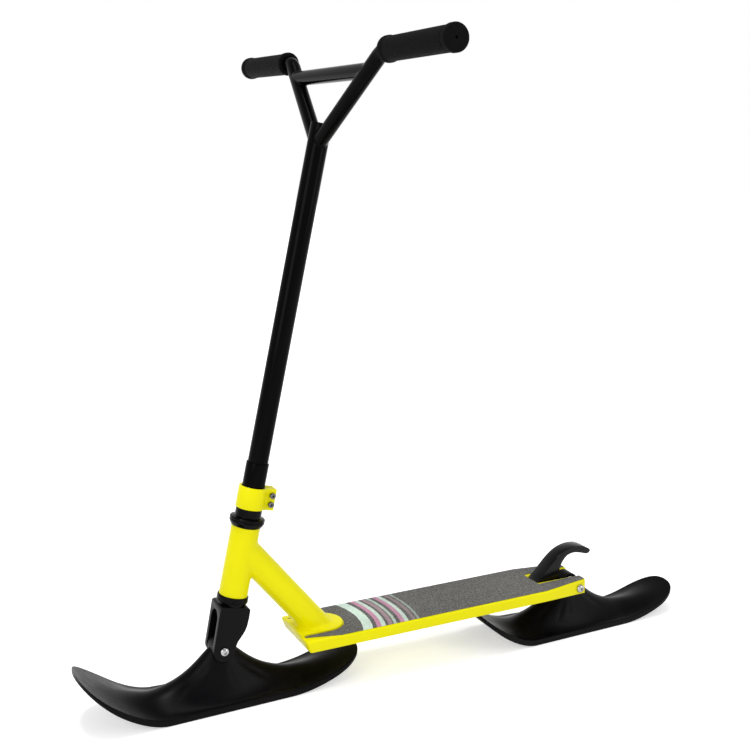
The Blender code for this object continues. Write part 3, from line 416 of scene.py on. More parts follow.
def noise(mat, scale, detail=3, roughness=0.5, stretch=(1, 1, 1)):
    """Soft noise from 0 to 1."""
    values = {"Scale": scale, "Detail": detail, "Roughness": roughness,
              "Vector": coordinates(mat, stretch)}
    return node(mat, "TexNoise", values)["Fac"]


def cells(mat, scale, output="Distance"):
    """A cell pattern for grains."""
    values = {"Scale": scale, "Vector": coordinates(mat)}
    return node(mat, "TexVoronoi", values)[output]


def graded(mat, source, low, high, start=0, end=1):
    """A value mapped from one range to another."""
    values = {"Value": source, "From Min": start, "From Max": end, "To Min": low, "To Max": high}
    return node(mat, "MapRange", values)["Result"]


def mixed(mat, factor, *colours):
    """Two colours, given or from a node, mixed by a factor."""
    values = {0: factor}
    for socket, colour in zip((6, 7), colours):
        values[socket] = (*colour, 1) if isinstance(colour, tuple) else colour
    return node(mat, "Mix", values, data_type="RGBA")[2]


def calculated(mat, operation, *values):
    """A math node on values or outputs."""
    return node(mat, "Math", dict(enumerate(values)), operation=operation)["Value"]


def bump(mat, height, distance, strength):
    """Small relief from a height pattern, in metres."""
    values = {"Height": height, "Distance": distance, "Strength": strength}
    feed(mat, "Normal", node(mat, "Bump", values)["Normal"])


# Materials

def yellow_paint():
    """Lemon powder coat with a faint orange peel."""
    mat = new_material("lemon_powder_coat", Roughness=0.3, Coat_Weight=0.07, Coat_Roughness=0.1,
                       Specular_IOR_Level=0.08)
    feed(mat, "Base Color", mixed(mat, noise(mat, 14, 2), (0.90, 0.84, 0.001),
                                  (0.86, 0.79, 0.001)))
    feed(mat, "Roughness", graded(mat, noise(mat, 60, 4), 0.24, 0.4))
    bump(mat, noise(mat, 900, 2), 0.05 * MM, 0.35)
    return mat


def satin_black(name, low, high, peel, specular):
    """Black paint, from satin to half gloss."""
    mat = new_material(name, Roughness=low, Specular_IOR_Level=specular)
    feed(mat, "Base Color", mixed(mat, noise(mat, 30), (0.0012, 0.0009, 0.0012),
                                  (0.0022, 0.0018, 0.0022)))
    feed(mat, "Roughness", graded(mat, noise(mat, 80, 4), low, high))
    bump(mat, noise(mat, peel), 0.04 * MM, 0.3)
    return mat


def moulded_plastic(name, low, high, grain, specular):
    """Black moulded plastic with a fine grain and faint flow marks."""
    mat = new_material(name, Roughness=low, Specular_IOR_Level=specular)
    flow = noise(mat, 22, 4, 0.6, (1, 2.6, 2.6))
    feed(mat, "Base Color", mixed(mat, flow, (0.0012, 0.0009, 0.0013), (0.0024, 0.002, 0.0026)))
    feed(mat, "Roughness", graded(mat, flow, low, high, 0.3, 0.7))
    grains = calculated(mat, "ADD", noise(mat, grain, 2), graded(mat, flow, 0, 0.6))
    bump(mat, grains, 0.05 * MM, 0.35)
    return mat


def grip_rubber():
    """Soft matt rubber."""
    mat = new_material("grip_rubber", Roughness=0.7, Specular_IOR_Level=0.035)
    feed(mat, "Base Color", mixed(mat, noise(mat, 90), (0.0034, 0.0031, 0.0032),
                                  (0.0064, 0.006, 0.0061)))
    feed(mat, "Roughness", graded(mat, noise(mat, 160), 0.6, 0.8))
    bump(mat, cells(mat, 1500), 0.08 * MM, 0.5)
    return mat


def steel(name, colour, low, high):
    """Plated or ground steel with fine turning marks."""
    mat = new_material(name, Roughness=low, Metallic=1)
    marks = noise(mat, 300, 3, 0.6, (1, 6, 1))
    shade = tuple(c * 0.86 for c in colour)
    feed(mat, "Base Color", mixed(mat, marks, colour, shade))
    feed(mat, "Roughness", graded(mat, marks, low, high))
    bump(mat, marks, 0.01 * MM, 0.25)
    return mat


def nylon():
    """Natural white nylon."""
    mat = new_material("natural_nylon", Roughness=0.45)
    feed(mat, "Base Color", mixed(mat, noise(mat, 120), (0.78, 0.78, 0.74),
                                  (0.70, 0.70, 0.66)))
    bump(mat, noise(mat, 900, 2), 0.02 * MM, 0.3)
    return mat


def grit_sheet():
    """Grey grit with plain curved stripes of mint and pink."""
    mat = new_material("grit_sheet", Roughness=0.9, Specular_IOR_Level=0.25)
    grit_scale = 1250
    ends = {0: coordinates(mat, (1, 1, 0)), 1: (STRIPE_CENTRE_X, 0, 0)}
    radius = node(mat, "VectorMath", ends, operation="DISTANCE")["Value"]
    ragged = graded(mat, noise(mat, 1100, 2), -0.5 * MM, 0.5 * MM, 0.3, 0.7)
    radius = calculated(mat, "ADD", radius, ragged)
    grain = {"Color": cells(mat, grit_scale, "Color")}
    value = node(mat, "SeparateColor", grain)
    speck = graded(mat, value["Red"], 0, 1, 0.25, 1)
    colour = mixed(mat, speck, (0.067, 0.066, 0.061), (0.262, 0.258, 0.240))
    for paint, cover, low, high in STRIPES:
        middle, half = (low + high) / 2 * MM, (high - low) / 2 * MM
        inside = calculated(mat, "COMPARE", radius, middle, half)
        thinnest, full_from = 0.62 * cover * cover, 1 - 0.45 * cover
        painted = graded(mat, value["Green"], thinnest, cover, 0, full_from)
        colour = mixed(mat, calculated(mat, "MULTIPLY", inside, painted), colour, paint)
    feed(mat, "Base Color", colour)
    feed(mat, "Roughness", graded(mat, value["Blue"], 0.7, 1))
    bump(mat, cells(mat, grit_scale), 0.35 * MM, 0.8)
    return mat


MATERIALS = {
    "yellow_frame": yellow_paint(),
    "bar_black": satin_black("bar_black_paint", 0.12, 0.18, 700, 0.032),
    "headset_black": satin_black("headset_black_finish", 0.12, 0.2, 1200, 0.07),
    "cast_black": satin_black("cast_black_paint", 0.26, 0.36, 420, 0.09),
    "ski_plastic": moulded_plastic("ski_plastic", 0.3, 0.44, 1500, 0.07),
    "lever_plastic": moulded_plastic("lever_plastic", 0.16, 0.24, 1800, 0.19),
    "grip_rubber": grip_rubber(),
    "grip_sheet": grit_sheet(),
    "fastener_steel": steel("zinc_plated_steel", (0.44, 0.44, 0.45), 0.12, 0.22),
    "bearing_steel": steel("ground_bearing_steel", (0.6, 0.61, 0.63), 0.14, 0.24),
    "nylon": nylon(),
}
# Painted shade: a darker copy of the plated steel for the clamp's screws, in place of the shade
# round them and in their sockets
SHADED_SCREW_STEEL = steel("shaded_screw_steel", (0.13, 0.13, 0.13), 0.16, 0.28)


# Pieces

def paint_cad_nodes():
    """Every node that stays in view gets its slot's finish."""
    slots = {row["node"]: row["material_slot"] for row in frame["record"]["subparts"]}
    for name, obj in frame["nodes"].items():
        obj.data.materials.clear()
        obj.data.materials.append(MATERIALS[slots[name]])


def make(name, mesh, slot, body, place=WORLD, sharp=30, finish=None):
    """Put a piece into the frame's space, paint it and make it ride on its body.

    A piece named like a node, with _fine behind, stands for that node.
    """
    replaces = [name.removesuffix("_fine")] if name.endswith("_fine") else []
    mesh.transform(place)
    obj = added(name, mesh)
    mesh.materials.clear()
    mesh.materials.append(finish or MATERIALS[slot])
    mesh.shade_smooth()
    mesh.set_sharp_from_angle(angle=radians(sharp))
    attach(obj, body)
    if replaces:
        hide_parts(*replaces)


# Skis

def end_at(s):
    """The end that holds a distance from the axle, positive to the nose."""
    return NOSE if s > 0 else TAIL


def ski_sole(s):
    """Height of the sole."""
    end = end_at(s)
    share = max(abs(s) - end["flat"], 0) / (end["length"] - end["flat"])
    return end["rise"] * share ** end["power"]


def end_fade(s, start):
    """A soft ramp over the ski's end, from a share of its length to the tip."""
    return smoothstep((abs(s) / end_at(s)["length"] - start) / (1 - start))


def ski_crest(s):
    """Height of the spine above the rim."""
    height = SKI_CREST / (1 + (abs(s) / end_at(s)["crest_reach"]) ** SKI_CREST_POWER)
    return height * (1 - end_fade(s, SKI_CREST_FADE))


def ski_rim(s):
    """Thickness of the edge, which thins towards both ends."""
    return SKI_RIM + (SKI_END_RIM - SKI_RIM) * end_fade(s, SKI_RIM_FADE)


def ski_end(end):
    """Stations of a rounded end: the distance past its start and the share of the width."""
    count = 22
    last_angle = radians(89)
    power = 2 / end["corner_power"]
    angles = [last_angle * index / count for index in range(1, count + 1)]
    return [(end["corner"] * (sin(angle) / sin(last_angle)) ** power, cos(angle) ** power)
            for angle in angles]


def ski_stations():
    """Distances along the ski with the half width at each, close together at the ends."""
    middle_steps = 96
    tail_inner = TAIL["corner"] - TAIL["length"]
    nose_inner = NOSE["length"] - NOSE["corner"]
    stations = [(tail_inner - along, part) for along, part in reversed(ski_end(TAIL))]
    stations += [(tail_inner + (nose_inner - tail_inner) * index / middle_steps, 1)
                 for index in range(middle_steps + 1)]
    stations += [(nose_inner + along, part) for along, part in ski_end(NOSE)]
    return [(s, part * (SKI_HALF_WIDTH + SKI_TAPER * s)) for s, part in stations]


def crease_depth(s, z):
    """How deep the flank is pressed in at a place in side view, measured from the axle."""
    reach = hypot(s, z)
    depth = 0
    for direction, start, end, share in SKI_CREASES:
        angle = radians(direction)
        line = (sin(angle), -cos(angle))
        along = s * line[0] + z * line[1]
        if along <= 0:
            continue
        bow = CREASE_BOW * along * along * copysign(1, direction)
        off = s * line[1] - z * line[0] + bow
        width = CREASE_WIDTH + CREASE_WIDENING * reach
        fade = smoothstep((reach - start * MM) / CREASE_RAMP)
        fade *= 1 - smoothstep((reach / (end * MM) - CREASE_FADE) / (1 - CREASE_FADE))
        depth += share * fade * exp(-(off / width) ** 2)
    return CREASE_DEPTH * depth


def ski_section(s, half_width):
    """A closed ring across the ski: the bell shaped top, a rolled rim and the sole."""
    top_steps, sole_steps, round_steps = 64, 8, 4
    sole = ski_sole(s)
    rim = sole + ski_rim(s)
    edge = min(SKI_EDGE, SKI_EDGE_SHARE * half_width)
    flat, low, high = half_width - edge, sole + edge, rim - edge
    ring = []
    for index in range(top_steps + 1):
        across = sin(pi / 2 * (2 * index / top_steps - 1))
        z = rim + ski_crest(s) * cos(pi / 2 * across) ** 2
        flank = sin(pi * abs(across))
        ring.append((across * flat, z - crease_depth(s, z - FRONT_AXLE.z) * flank))
    ring += arc((flat, high), edge, 90, 0, round_steps)[1:]
    ring += arc((flat, low), edge, 0, -90, round_steps)[1:]
    ring += [(flat * (1 - 2 * index / sole_steps), sole) for index in range(1, sole_steps + 1)]
    ring += arc((-flat, low), edge, -90, -180, round_steps)[1:]
    ring += arc((-flat, high), edge, 180, 90, round_steps)[1:-1]
    return [(s, y, z - FRONT_AXLE.z) for y, z in ring]


def make_skis():
    """Both skis, the same moulding: a loft of sections with a boss, pockets and a bore."""
    mesh = loft([ski_section(s, half_width) for s, half_width in ski_stations()])
    mesh = carve(mesh, rod(BOSS_RADIUS, 2 * BOSS_HALF_WIDTH, 72), "UNION")
    depth = POCKET_OUTER - BOSS_HALF_WIDTH
    for side in (1, -1):
        middle = (0, side * (BOSS_HALF_WIDTH + depth / 2), 0)
        mesh = drilled(mesh, POCKET_RADIUS, depth, 72, middle)
    mesh = drilled(mesh, BORE_RADIUS, 4 * BOSS_HALF_WIDTH, 48)
    for name, axle in (("front_ski", FRONT_AXLE), ("rear_ski", REAR_AXLE)):
        make(name + "_fine", mesh.copy(), "ski_plastic", name, shift(axle))


# Deck

def on_arms(distance, front, rear):
    """A size that changes along the tapered arms, so far behind the deck's front edge."""
    return front + (rear - front) * max(distance - TAPER_START, 0) / (DECK_LENGTH - TAPER_START)


def deck_width(distance):
    """Half width of the deck at a distance behind its front edge."""
    return on_arms(distance, DECK_HALF_WIDTH, DECK_REAR_HALF_WIDTH)


def deck_surface():
    """The sheet with round folds at its front, its outer edges and the slot's sides."""
    slot_start = DECK_LENGTH - SLOT_LENGTH
    left = [(0, DECK_HALF_WIDTH), (TAPER_START, DECK_HALF_WIDTH),
            (DECK_LENGTH, DECK_REAR_HALF_WIDTH), (DECK_LENGTH, SLOT_HALF_WIDTH),
            (slot_start, SLOT_HALF_WIDTH)]
    outline = left + [(x, -y) for x, y in reversed(left)]
    folded_sides = {0, 1, 3, 5, 7, 8, len(outline) - 1}
    bm = bmesh.new()
    top = [bm.verts.new((-x, y, 0)) for x, y in outline]
    slants = {0: FLANGE_CORNER_SLANT}
    low = [bm.verts.new((-x - slants.get(x, 0), y,
                         -on_arms(x, FLANGE_DEPTH_FRONT, FLANGE_DEPTH_REAR)))
           for x, y in outline]
    up_face = bm.faces.new(top)
    for index in folded_sides:
        after = (index + 1) % len(outline)
        bm.faces.new((top[index], top[after], low[after], low[index]))
    bmesh.ops.delete(bm, geom=[v for v in bm.verts if not v.link_faces], context="VERTS")
    bmesh.ops.recalc_face_normals(bm, faces=bm.faces)
    if up_face.normal.z < 0:
        bmesh.ops.reverse_faces(bm, faces=bm.faces)
    corners = {top[0], top[-1]}
    folds = [e for e in bm.edges if len(e.link_faces) == 2
             and (up_face in e.link_faces or corners & set(e.verts))]
    bmesh.ops.bevel(bm, geom=folds, offset=DECK_FOLD_WIDTH, offset_type="WIDTH", segments=8,
                    profile=0.5, affect="EDGES")
    mesh = bpy.data.meshes.new("deck")
    bm.to_mesh(mesh)
    bm.free()
    return mesh


def make_deck():
    """The folded channel with its holes and softened sheet edges."""
    mesh = modified(deck_surface(), "SOLIDIFY", thickness=DECK_SHEET, offset=-1,
                    use_even_offset=True)
    mesh = bevelled(mesh, 0.45 * MM, 2, 50)
    mesh = drilled(mesh, AXLE_RADIUS + GAP, 3 * DECK_HALF_WIDTH, 40, DECK.inverted() @ REAR_AXLE)
    inner_reach = 2 * (SLOT_HALF_WIDTH + 2 * DECK_SHEET)
    mesh = drilled(mesh, BRAKE_PIN_RADIUS + GAP, inner_reach, 32, DECK.inverted() @ BRAKE_PIN)
    make("deck_fine", mesh, "yellow_frame", "frame", DECK)


def lay_on_deck(outline, thickness, lift):
    """A flat piece on the deck's top from an outline of distances behind the front edge."""
    mesh = prism([(-x, y) for x, y in outline], thickness / 2, upright=False)
    mesh.transform(shift((0, 0, lift + thickness / 2)))
    return mesh


def make_grip_tape():
    """The gritted sheet, notched round the neck plate and set back from the rear slot."""
    thickness, lift = 0.9 * MM, 0.7 * GAP
    side_inset, notch_margin, slot_margin = 1.6 * MM, 1.5 * MM, 4.6 * MM
    tip_back, shoulder_back = 5.5 * MM, 55.5 * MM
    tip_inner, tip_outer = 31.9 * MM, 35.4 * MM
    slot_start = DECK_LENGTH - SLOT_LENGTH - notch_margin
    rear = DECK_LENGTH - MM
    left = [(tip_back, tip_inner), (tip_back, tip_outer),
            (shoulder_back, DECK_HALF_WIDTH - side_inset),
            (TAPER_START, DECK_HALF_WIDTH - side_inset),
            (rear, deck_width(rear) - side_inset), (rear, SLOT_HALF_WIDTH + slot_margin),
            (slot_start, SLOT_HALF_WIDTH + slot_margin)]
    right = [(x, -y) for x, y in reversed(left)]
    notch = arc((PLATE_ROUND_CENTRE, 0), PLATE_HALF_WIDTH + notch_margin, -90, 90, 48)
    mesh = lay_on_deck(left + right + notch, thickness, lift)
    make("grip_tape_fine", bevelled(mesh, 0.15 * MM, 2, 50), "grip_sheet", "frame", DECK)


def make_neck_plate():
    """The D shaped plate with soft edges."""
    outline = [(PLATE_FRONT, -PLATE_HALF_WIDTH)]
    outline += arc((PLATE_ROUND_CENTRE, 0), PLATE_HALF_WIDTH, -90, 90, 48)
    outline += [(PLATE_FRONT, PLATE_HALF_WIDTH)]
    mesh = lay_on_deck(outline, PLATE_THICKNESS, GAP)
    make("neck_plate_fine", bevelled(mesh, MM, 4, 50), "yellow_frame", "frame", DECK)


# Tubes, headset and clamp

def pipe(radius, wall, bottom, top, ease=0.4 * MM):
    """A pipe with softened ends."""
    inner = radius - wall
    return lathe(eased([(radius, top), (radius, bottom), (inner, bottom), (inner, top)], ease))


def make_frame_tubes():
    """Head tube and down tube, mitred as in the solids."""
    head_wall, down_wall, half_span, trim = 2.6 * MM, 2.4 * MM, 190 * MM, 400 * MM
    head = pipe(HEAD_TUBE_RADIUS, head_wall, HEAD_TUBE_BOTTOM, HEAD_TUBE_TOP)
    make("head_tube_fine", head, "yellow_frame", "frame", STEERING)
    lean = spin(pi / 2 - DOWN_TUBE_SLOPE, 4, "Y")
    tube = pipe(DOWN_TUBE_RADIUS, down_wall, -half_span, half_span)
    tube.transform(shift(DOWN_TUBE_POINT) @ lean)
    below_plate = (0, 0, PLATE_THICKNESS + 2 * GAP - trim / 2)
    cutters = [(rod(HEAD_TUBE_RADIUS + GAP, trim, 128, turn=WORLD), STEERING),
               (block((trim, trim, trim), (trim / 2, 0, 0)), STEERING),
               (block((trim, trim, trim), below_plate), DECK)]
    for cutter, place in cutters:
        cutter.transform(place)
        tube = carve(tube, cutter)
    make("down_tube_fine", tube, "yellow_frame", "frame")


def dimpled(mesh, radius, height, size=1.1 * MM, count=12):
    """A row of small round dimples about the axis."""
    half_round = arc((0, 0), size, 90, -90, 8)
    for turn in full_turn(count):
        angle = turn + pi / count
        ball = lathe(half_round, 16, False)
        ball.transform(shift((radius * cos(angle), radius * sin(angle), height)))
        mesh = carve(mesh, ball)
    return mesh


def make_headset():
    """Cups, race and cover with rounded edges, and small dimples round the cups."""
    bore = (STEERER_RADIUS + GAP) / MM
    low = (HEAD_TUBE_BOTTOM - GAP) / MM
    high = (HEAD_TUBE_TOP + GAP) / MM
    seat, flange = 19.6, 24.75
    # Each part's body, the radius and height of its dimples and its profile, in millimetres
    parts = {
        "lower_cup": ("frame", [(22.3, -2.6)],
                      [(22, low), (22.3, -0.5), (22.3, -5.2), (seat, -5.2), (seat, -1),
                       (bore, -1), (bore, low)]),
        "crown_race": ("steering", [],
                       [(seat + 2.3, -5.5), (20.4, -9.9), (bore, -9.9), (bore, -5.5)]),
        "upper_cup": ("frame", [(23.6, 106.6)],
                      [(seat, 112), (flange - 0.3, 112), (flange, 110.5),
                       (flange - 0.4, 108.6), (21.2, high), (bore, high), (bore, 107.6),
                       (seat, 107.6)]),
        "bearing_cover": ("steering", [],
                          [(18, 128.9), (18.5, 128.2), (18.5, 117.4), (21, 116.7),
                           (23.6, 116.2), (flange, 115.2), (flange, 112.3), (bore, 112.3),
                           (bore, 128.9)]),
    }
    for name, (body, dimples, profile) in parts.items():
        mesh = lathe(eased(in_metres(profile), 0.6 * MM))
        for radius, height in in_metres(dimples):
            mesh = dimpled(mesh, radius, height)
        make(name + "_fine", mesh, "headset_black", body, STEERING)


def make_clamp():
    """The split collar with two ears and its two socket screws."""
    half_height, slit_reach = (CLAMP_TOP - CLAMP_BOTTOM) / 2, 30 * MM
    middle = CLAMP_BOTTOM + half_height
    ear_angle = degrees(asin(EAR_HALF_WIDTH / CLAMP_RADIUS))
    outline = arc((0, 0), CLAMP_RADIUS, -180 + ear_angle, 180 - ear_angle, 72)
    outline += [(-EAR_REACH, EAR_HALF_WIDTH), (-EAR_REACH, -EAR_HALF_WIDTH)]
    mesh = prism(outline, half_height, upright=False)
    mesh = drilled(mesh, SLEEVE_RADIUS + GAP, 3 * half_height, 96, turn=WORLD)
    mesh = carve(mesh, block((slit_reach, EAR_SLIT, 3 * half_height), (-slit_reach, 0, 0)))
    mesh = bevelled(mesh, 0.9 * MM, 3, 40)
    for name, height in BOLT_HEIGHTS.items():
        hole = (-BOLT_REACH, 0, height - middle)
        mesh = drilled(mesh, BOLT_RADIUS + GAP, 3 * EAR_HALF_WIDTH, 32, hole)
        make_socket_screw(name, height)
    mesh.transform(shift((0, 0, middle)))
    make("clamp_collar_fine", mesh, "yellow_frame", "steering", STEERING)


def make_socket_screw(name, height):
    """A socket head screw across the ears."""
    radius, head_height, shank = 4.25 * MM, 4.2 * MM, BOLT_RADIUS
    low = EAR_HALF_WIDTH + GAP
    high = low + head_height
    socket_radius, socket_length = 2 * MM, 5 * MM
    end = MM - EAR_HALF_WIDTH
    profile = eased([(0, high), (radius, high), (radius, low), (shank, low), (shank, end),
                     (0, end)], 0.5 * MM, 4, False)
    mesh = drilled(lathe(profile, 48, False), socket_radius, socket_length, 6, (0, 0, high), WORLD)
    place = STEERING @ shift((-BOLT_REACH, 0, height)) @ ACROSS
    # The screws take the darker steel with the painted shade, not the plain plated steel
    make(name + "_fine", mesh, "fastener_steel", "steering", place, finish=SHADED_SCREW_STEEL)


# Handlebar and grips

def bar_line_height(y):
    """Height of the grip's bar at a distance from the middle."""
    return BAR_HEIGHT + (y - RISER_CORNER) * tan(BAR_UPSWEEP)


def riser_path(side, start, stop_before):
    """Centre line of the left (1) or right (-1) riser: a leg, a bend and the grip's bar."""
    tangent = BAR_BEND_RADIUS * tan((RISER_SLOPE - BAR_UPSWEEP) / 2)
    points = [(start, BAR_HEIGHT - (RISER_CORNER - start) * tan(RISER_SLOPE))]
    leg = Vector((cos(RISER_SLOPE), sin(RISER_SLOPE)))
    bend_start = Vector((RISER_CORNER, BAR_HEIGHT)) - leg * tangent
    centre = bend_start + Vector((leg.y, -leg.x)) * BAR_BEND_RADIUS
    first, last = 90 + degrees(RISER_SLOPE), 90 + degrees(BAR_UPSWEEP)
    points += arc(centre, BAR_BEND_RADIUS, first, last, 24)
    end = GRIP_OUTER - stop_before
    points.append((end, bar_line_height(end)))
    return [(0, side * y, z) for y, z in points]


def make_bar():
    """The tall tube and the slit sleeve round its foot."""
    tube = pipe(STEERER_RADIUS, TUBE_WALL, BAR_TUBE_BOTTOM, BAR_TUBE_TOP)
    make("bar_tube_fine", tube, "bar_black", "steering", STEERING)
    bottom = CLAMP_BOTTOM + GAP
    wall = SLEEVE_RADIUS - STEERER_RADIUS - GAP
    slit_width, slit_height, slit_middle = 1.6 * MM, 26 * MM, 12.5 * MM
    sleeve = pipe(SLEEVE_RADIUS, wall, bottom, SLEEVE_TOP, 0.5 * MM)
    slit = block((SLEEVE_RADIUS, slit_width, slit_height),
                 (-SLEEVE_RADIUS, 0, bottom + slit_middle))
    make("bar_sleeve_fine", carve(sleeve, slit), "bar_black", "steering", STEERING)


def make_handlebar():
    """The two risers and the crossbar, all hollow and mitred."""
    end_room, past_end, foot = 4 * MM, 3 * MM, 5 * MM
    bore = BAR_RADIUS - TUBE_WALL
    trunk_length = 140 * MM
    trunk_middle = (0, 0, BAR_TUBE_TOP - trunk_length / 4)
    half = RISER_CORNER - (BAR_HEIGHT - CROSSBAR_HEIGHT) / tan(RISER_SLOPE)
    crossbar = rod(BAR_RADIUS, 2 * half, 64, (0, 0, CROSSBAR_HEIGHT))
    for side, label in LEFT_AND_RIGHT:
        riser = sweep(riser_path(side, foot, end_room), BAR_RADIUS, 64)
        riser = drilled(riser, STEERER_RADIUS + GAP, trunk_length, 96, trunk_middle, WORLD)
        hollow = riser_path(side, foot - past_end, end_room - past_end)
        riser = carve(riser, sweep(hollow, bore, 48))
        make("riser_" + label + "_fine", riser, "bar_black", "steering", STEERING)
        around = riser_path(side, 6 * foot, end_room)
        crossbar = carve(crossbar, sweep(around, BAR_RADIUS + GAP, 64))
    crossbar = drilled(crossbar, bore, 3 * half, 48, (0, 0, CROSSBAR_HEIGHT))
    make("crossbar_fine", crossbar, "bar_black", "steering", STEERING)


def make_grips():
    """Moulded grips with soft flanges, a ring groove and a vent in the outer end."""
    length = (GRIP_OUTER - GRIP_INNER) / MM
    bore = (BAR_RADIUS + GAP) / MM
    radius = GRIP_RADIUS / MM
    flange, groove, vent = radius + 1.2, radius - 0.5, 1.6
    outer, inner_end = length - 10.5, length - 3.4
    profile = [(vent, length - 0.6), (flange - 6, length - 0.5), (flange - 5, length),
               (flange - 1, length), (flange, length - 1.6), (flange, length - 8.6),
               (radius + 0.2, outer), (groove, outer - 0.7), (groove, outer - 1.7),
               (radius, outer - 2.6), (radius, 9.8), (flange, 7.8), (flange, 1.2),
               (flange - 1.2, 0), (bore, 0), (bore, inner_end), (vent, inner_end)]
    for side, label in LEFT_AND_RIGHT:
        turn = spin(-side * (pi / 2 - BAR_UPSWEEP), 4, "X")
        spot = shift((0, side * GRIP_INNER, bar_line_height(GRIP_INNER)))
        mesh = lathe(eased(in_metres(profile), 1.2 * MM))
        place = STEERING @ spot @ turn
        make("grip_" + label + "_fine", mesh, "grip_rubber", "steering", place, 60)


# Fork, axles and brake

def make_fork():
    """The cast block with its round topped slot and soft edges."""
    axle = STEERING.inverted() @ FRONT_AXLE
    corner, front, rear, slot_end = 4 * MM, 22 * MM, -22 * MM, -120 * MM
    round_start, round_end = 168, 360
    back = [(-22.2, -22), (-22.3, -24), (-21.6, -38), (-19, -46.5), (-12.3, -60)]
    outline = arc((front - corner, FORK_TOP - corner), corner, 0, 90, 8)
    outline += arc((rear + corner, FORK_TOP - corner), corner, 90, 180, 8)
    outline += eased(in_metres(back), 5 * MM, 5, False)
    outline += arc((axle.x, axle.z), FORK_END_RADIUS, round_start, round_end, 48)
    slot = arc((0, FORK_SLOT_TOP - FORK_SLOT_HALF_WIDTH), FORK_SLOT_HALF_WIDTH, 0, 180, 40)
    slot += [(-FORK_SLOT_HALF_WIDTH, slot_end), (FORK_SLOT_HALF_WIDTH, slot_end)]
    cutter = prism(slot, 3 * FORK_HALF_WIDTH)
    cutter.transform(spin(pi / 2, 4, "Z"))
    mesh = bevelled(carve(prism(outline, FORK_HALF_WIDTH), cutter), 2.2 * MM, 4, 40)
    mesh = drilled(mesh, AXLE_RADIUS + GAP, 3 * FORK_HALF_WIDTH, 40, axle)
    make("fork_fine", mesh, "cast_black", "steering", STEERING, 40)


def make_axle(name, reach, place, body):
    """A domed button head bolt and its hexagon nut."""
    rim, dome_flat, dome_rise, chamfer = MM, MM, 3.4 * MM, 0.8 * MM
    socket_radius, socket_length = 2.6 * MM, 5.2 * MM
    past_arm, nut_height, nut_edge = 8.5 * MM, 6.5 * MM, 0.7 * MM
    low = reach + GAP
    high = low + rim + dome_rise
    end = -reach - past_arm
    dome = [(AXLE_HEAD_RADIUS * sin(a), low + rim + dome_rise * cos(a))
            for a in [radians(k) for k in range(15, 91, 15)]]
    profile = [(0, high), (dome_flat, high)] + dome
    profile += [(AXLE_HEAD_RADIUS, low), (AXLE_RADIUS, low), (AXLE_RADIUS, end + chamfer),
                (AXLE_RADIUS - chamfer, end), (0, end)]
    mesh = drilled(lathe(profile, 56, False), socket_radius, socket_length, 6, (0, 0, high), WORLD)
    spot = shift(place)
    make(name + "_bolt_fine", mesh, "fastener_steel", body, spot @ ACROSS)
    nut = bevelled(rod(AXLE_NUT_RADIUS, nut_height, 6, turn=WORLD), nut_edge, 3, 40)
    nut = drilled(nut, AXLE_RADIUS + GAP, 2 * nut_height, 40, turn=WORLD)
    middle = shift((0, -(low + nut_height / 2), 0))
    make(name + "_nut_fine", nut, "fastener_steel", body, spot @ middle @ ACROSS)


def make_axles():
    """The front and the rear axle."""
    make_axle("front_axle", FORK_HALF_WIDTH, FRONT_AXLE, "steering")
    seat = deck_width(DECK_FRONT.x - REAR_AXLE.x - AXLE_NUT_RADIUS)
    make_axle("rear_axle", seat, REAR_AXLE, "frame")


def brake_hollow():
    """Side view of the hollow between the lever's walls, open to the rear and below."""
    inner = []
    for start, end in zip(BRAKE_BACK, BRAKE_BACK[1:]):
        step = (Vector(end) - Vector(start)).normalized() * BRAKE_HOLLOW_INSET
        inner.append((start[0] - step.y, start[1] + step.x))
    return smooth_line(inner) + BRAKE_HOLLOW_BELOW


def make_brake():
    """The hooked foot lever, hollow from below."""
    outline = in_metres(smooth_line(BRAKE_BACK + BRAKE_TIP + BRAKE_EDGE))
    mesh = bevelled(prism(outline, BRAKE_HALF_WIDTH), 1.3 * MM, 3, 50)
    mesh = carve(mesh, prism(in_metres(brake_hollow()), BRAKE_HALF_WIDTH - BRAKE_WALL))
    mesh = drilled(mesh, BRAKE_PIN_RADIUS + GAP, 4 * BRAKE_HALF_WIDTH, 32)
    make("brake_lever_fine", mesh, "lever_plastic", "brake", shift(BRAKE_PIN), 40)


# Welds, between surfaces given as a point, an axis and a radius, or None where flat

def outward(surface, spot):
    """The outward direction of a round or flat surface at a place."""
    point, axis, radius = surface
    if radius is None:
        return axis
    offset = spot - point
    return (offset - axis * offset.dot(axis)).normalized()


def settled(surface, spot):
    """The nearest place on a round or flat surface."""
    point, axis, radius = surface
    along = axis * (spot - point).dot(axis)
    if radius is None:
        return spot - along
    return point + along + outward(surface, spot) * radius


def meeting_line(tube, base, travel, steps=96):
    """The loop where a round tube, followed in one direction, runs onto its base."""
    point, axis, radius = tube
    base_point, base_axis, base_radius = base
    first = axis.orthogonal().normalized()
    second = axis.cross(first)
    loop = []
    for angle in full_turn(steps):
        start = point + (first * cos(angle) + second * sin(angle)) * radius
        offset = start - base_point
        if base_radius is None:
            run = -offset.dot(base_axis) / travel.dot(base_axis)
        else:
            offset -= base_axis * offset.dot(base_axis)
            flat = travel - base_axis * travel.dot(base_axis)
            half_b = offset.dot(flat) / flat.length_squared
            c = (offset.length_squared - base_radius ** 2) / flat.length_squared
            run = -half_b - sqrt(max(half_b ** 2 - c, 0))
        loop.append(start + travel * run)
    return loop


def evenly_spaced(path, pitch, waves):
    """Points at equal steps round a closed loop: so many to each pitch."""
    sides = list(zip(path, path[1:] + path[:1]))
    lengths = [(end - start).length for start, end in sides]
    count = int(sum(lengths) / pitch) * waves
    points, walked, index = [], 0, 0
    for step in range(count):
        target = sum(lengths) * step / count
        while walked + lengths[index] < target:
            walked += lengths[index]
            index += 1
        start, end = sides[index]
        points.append(start.lerp(end, (target - walked) / lengths[index]))
    return points


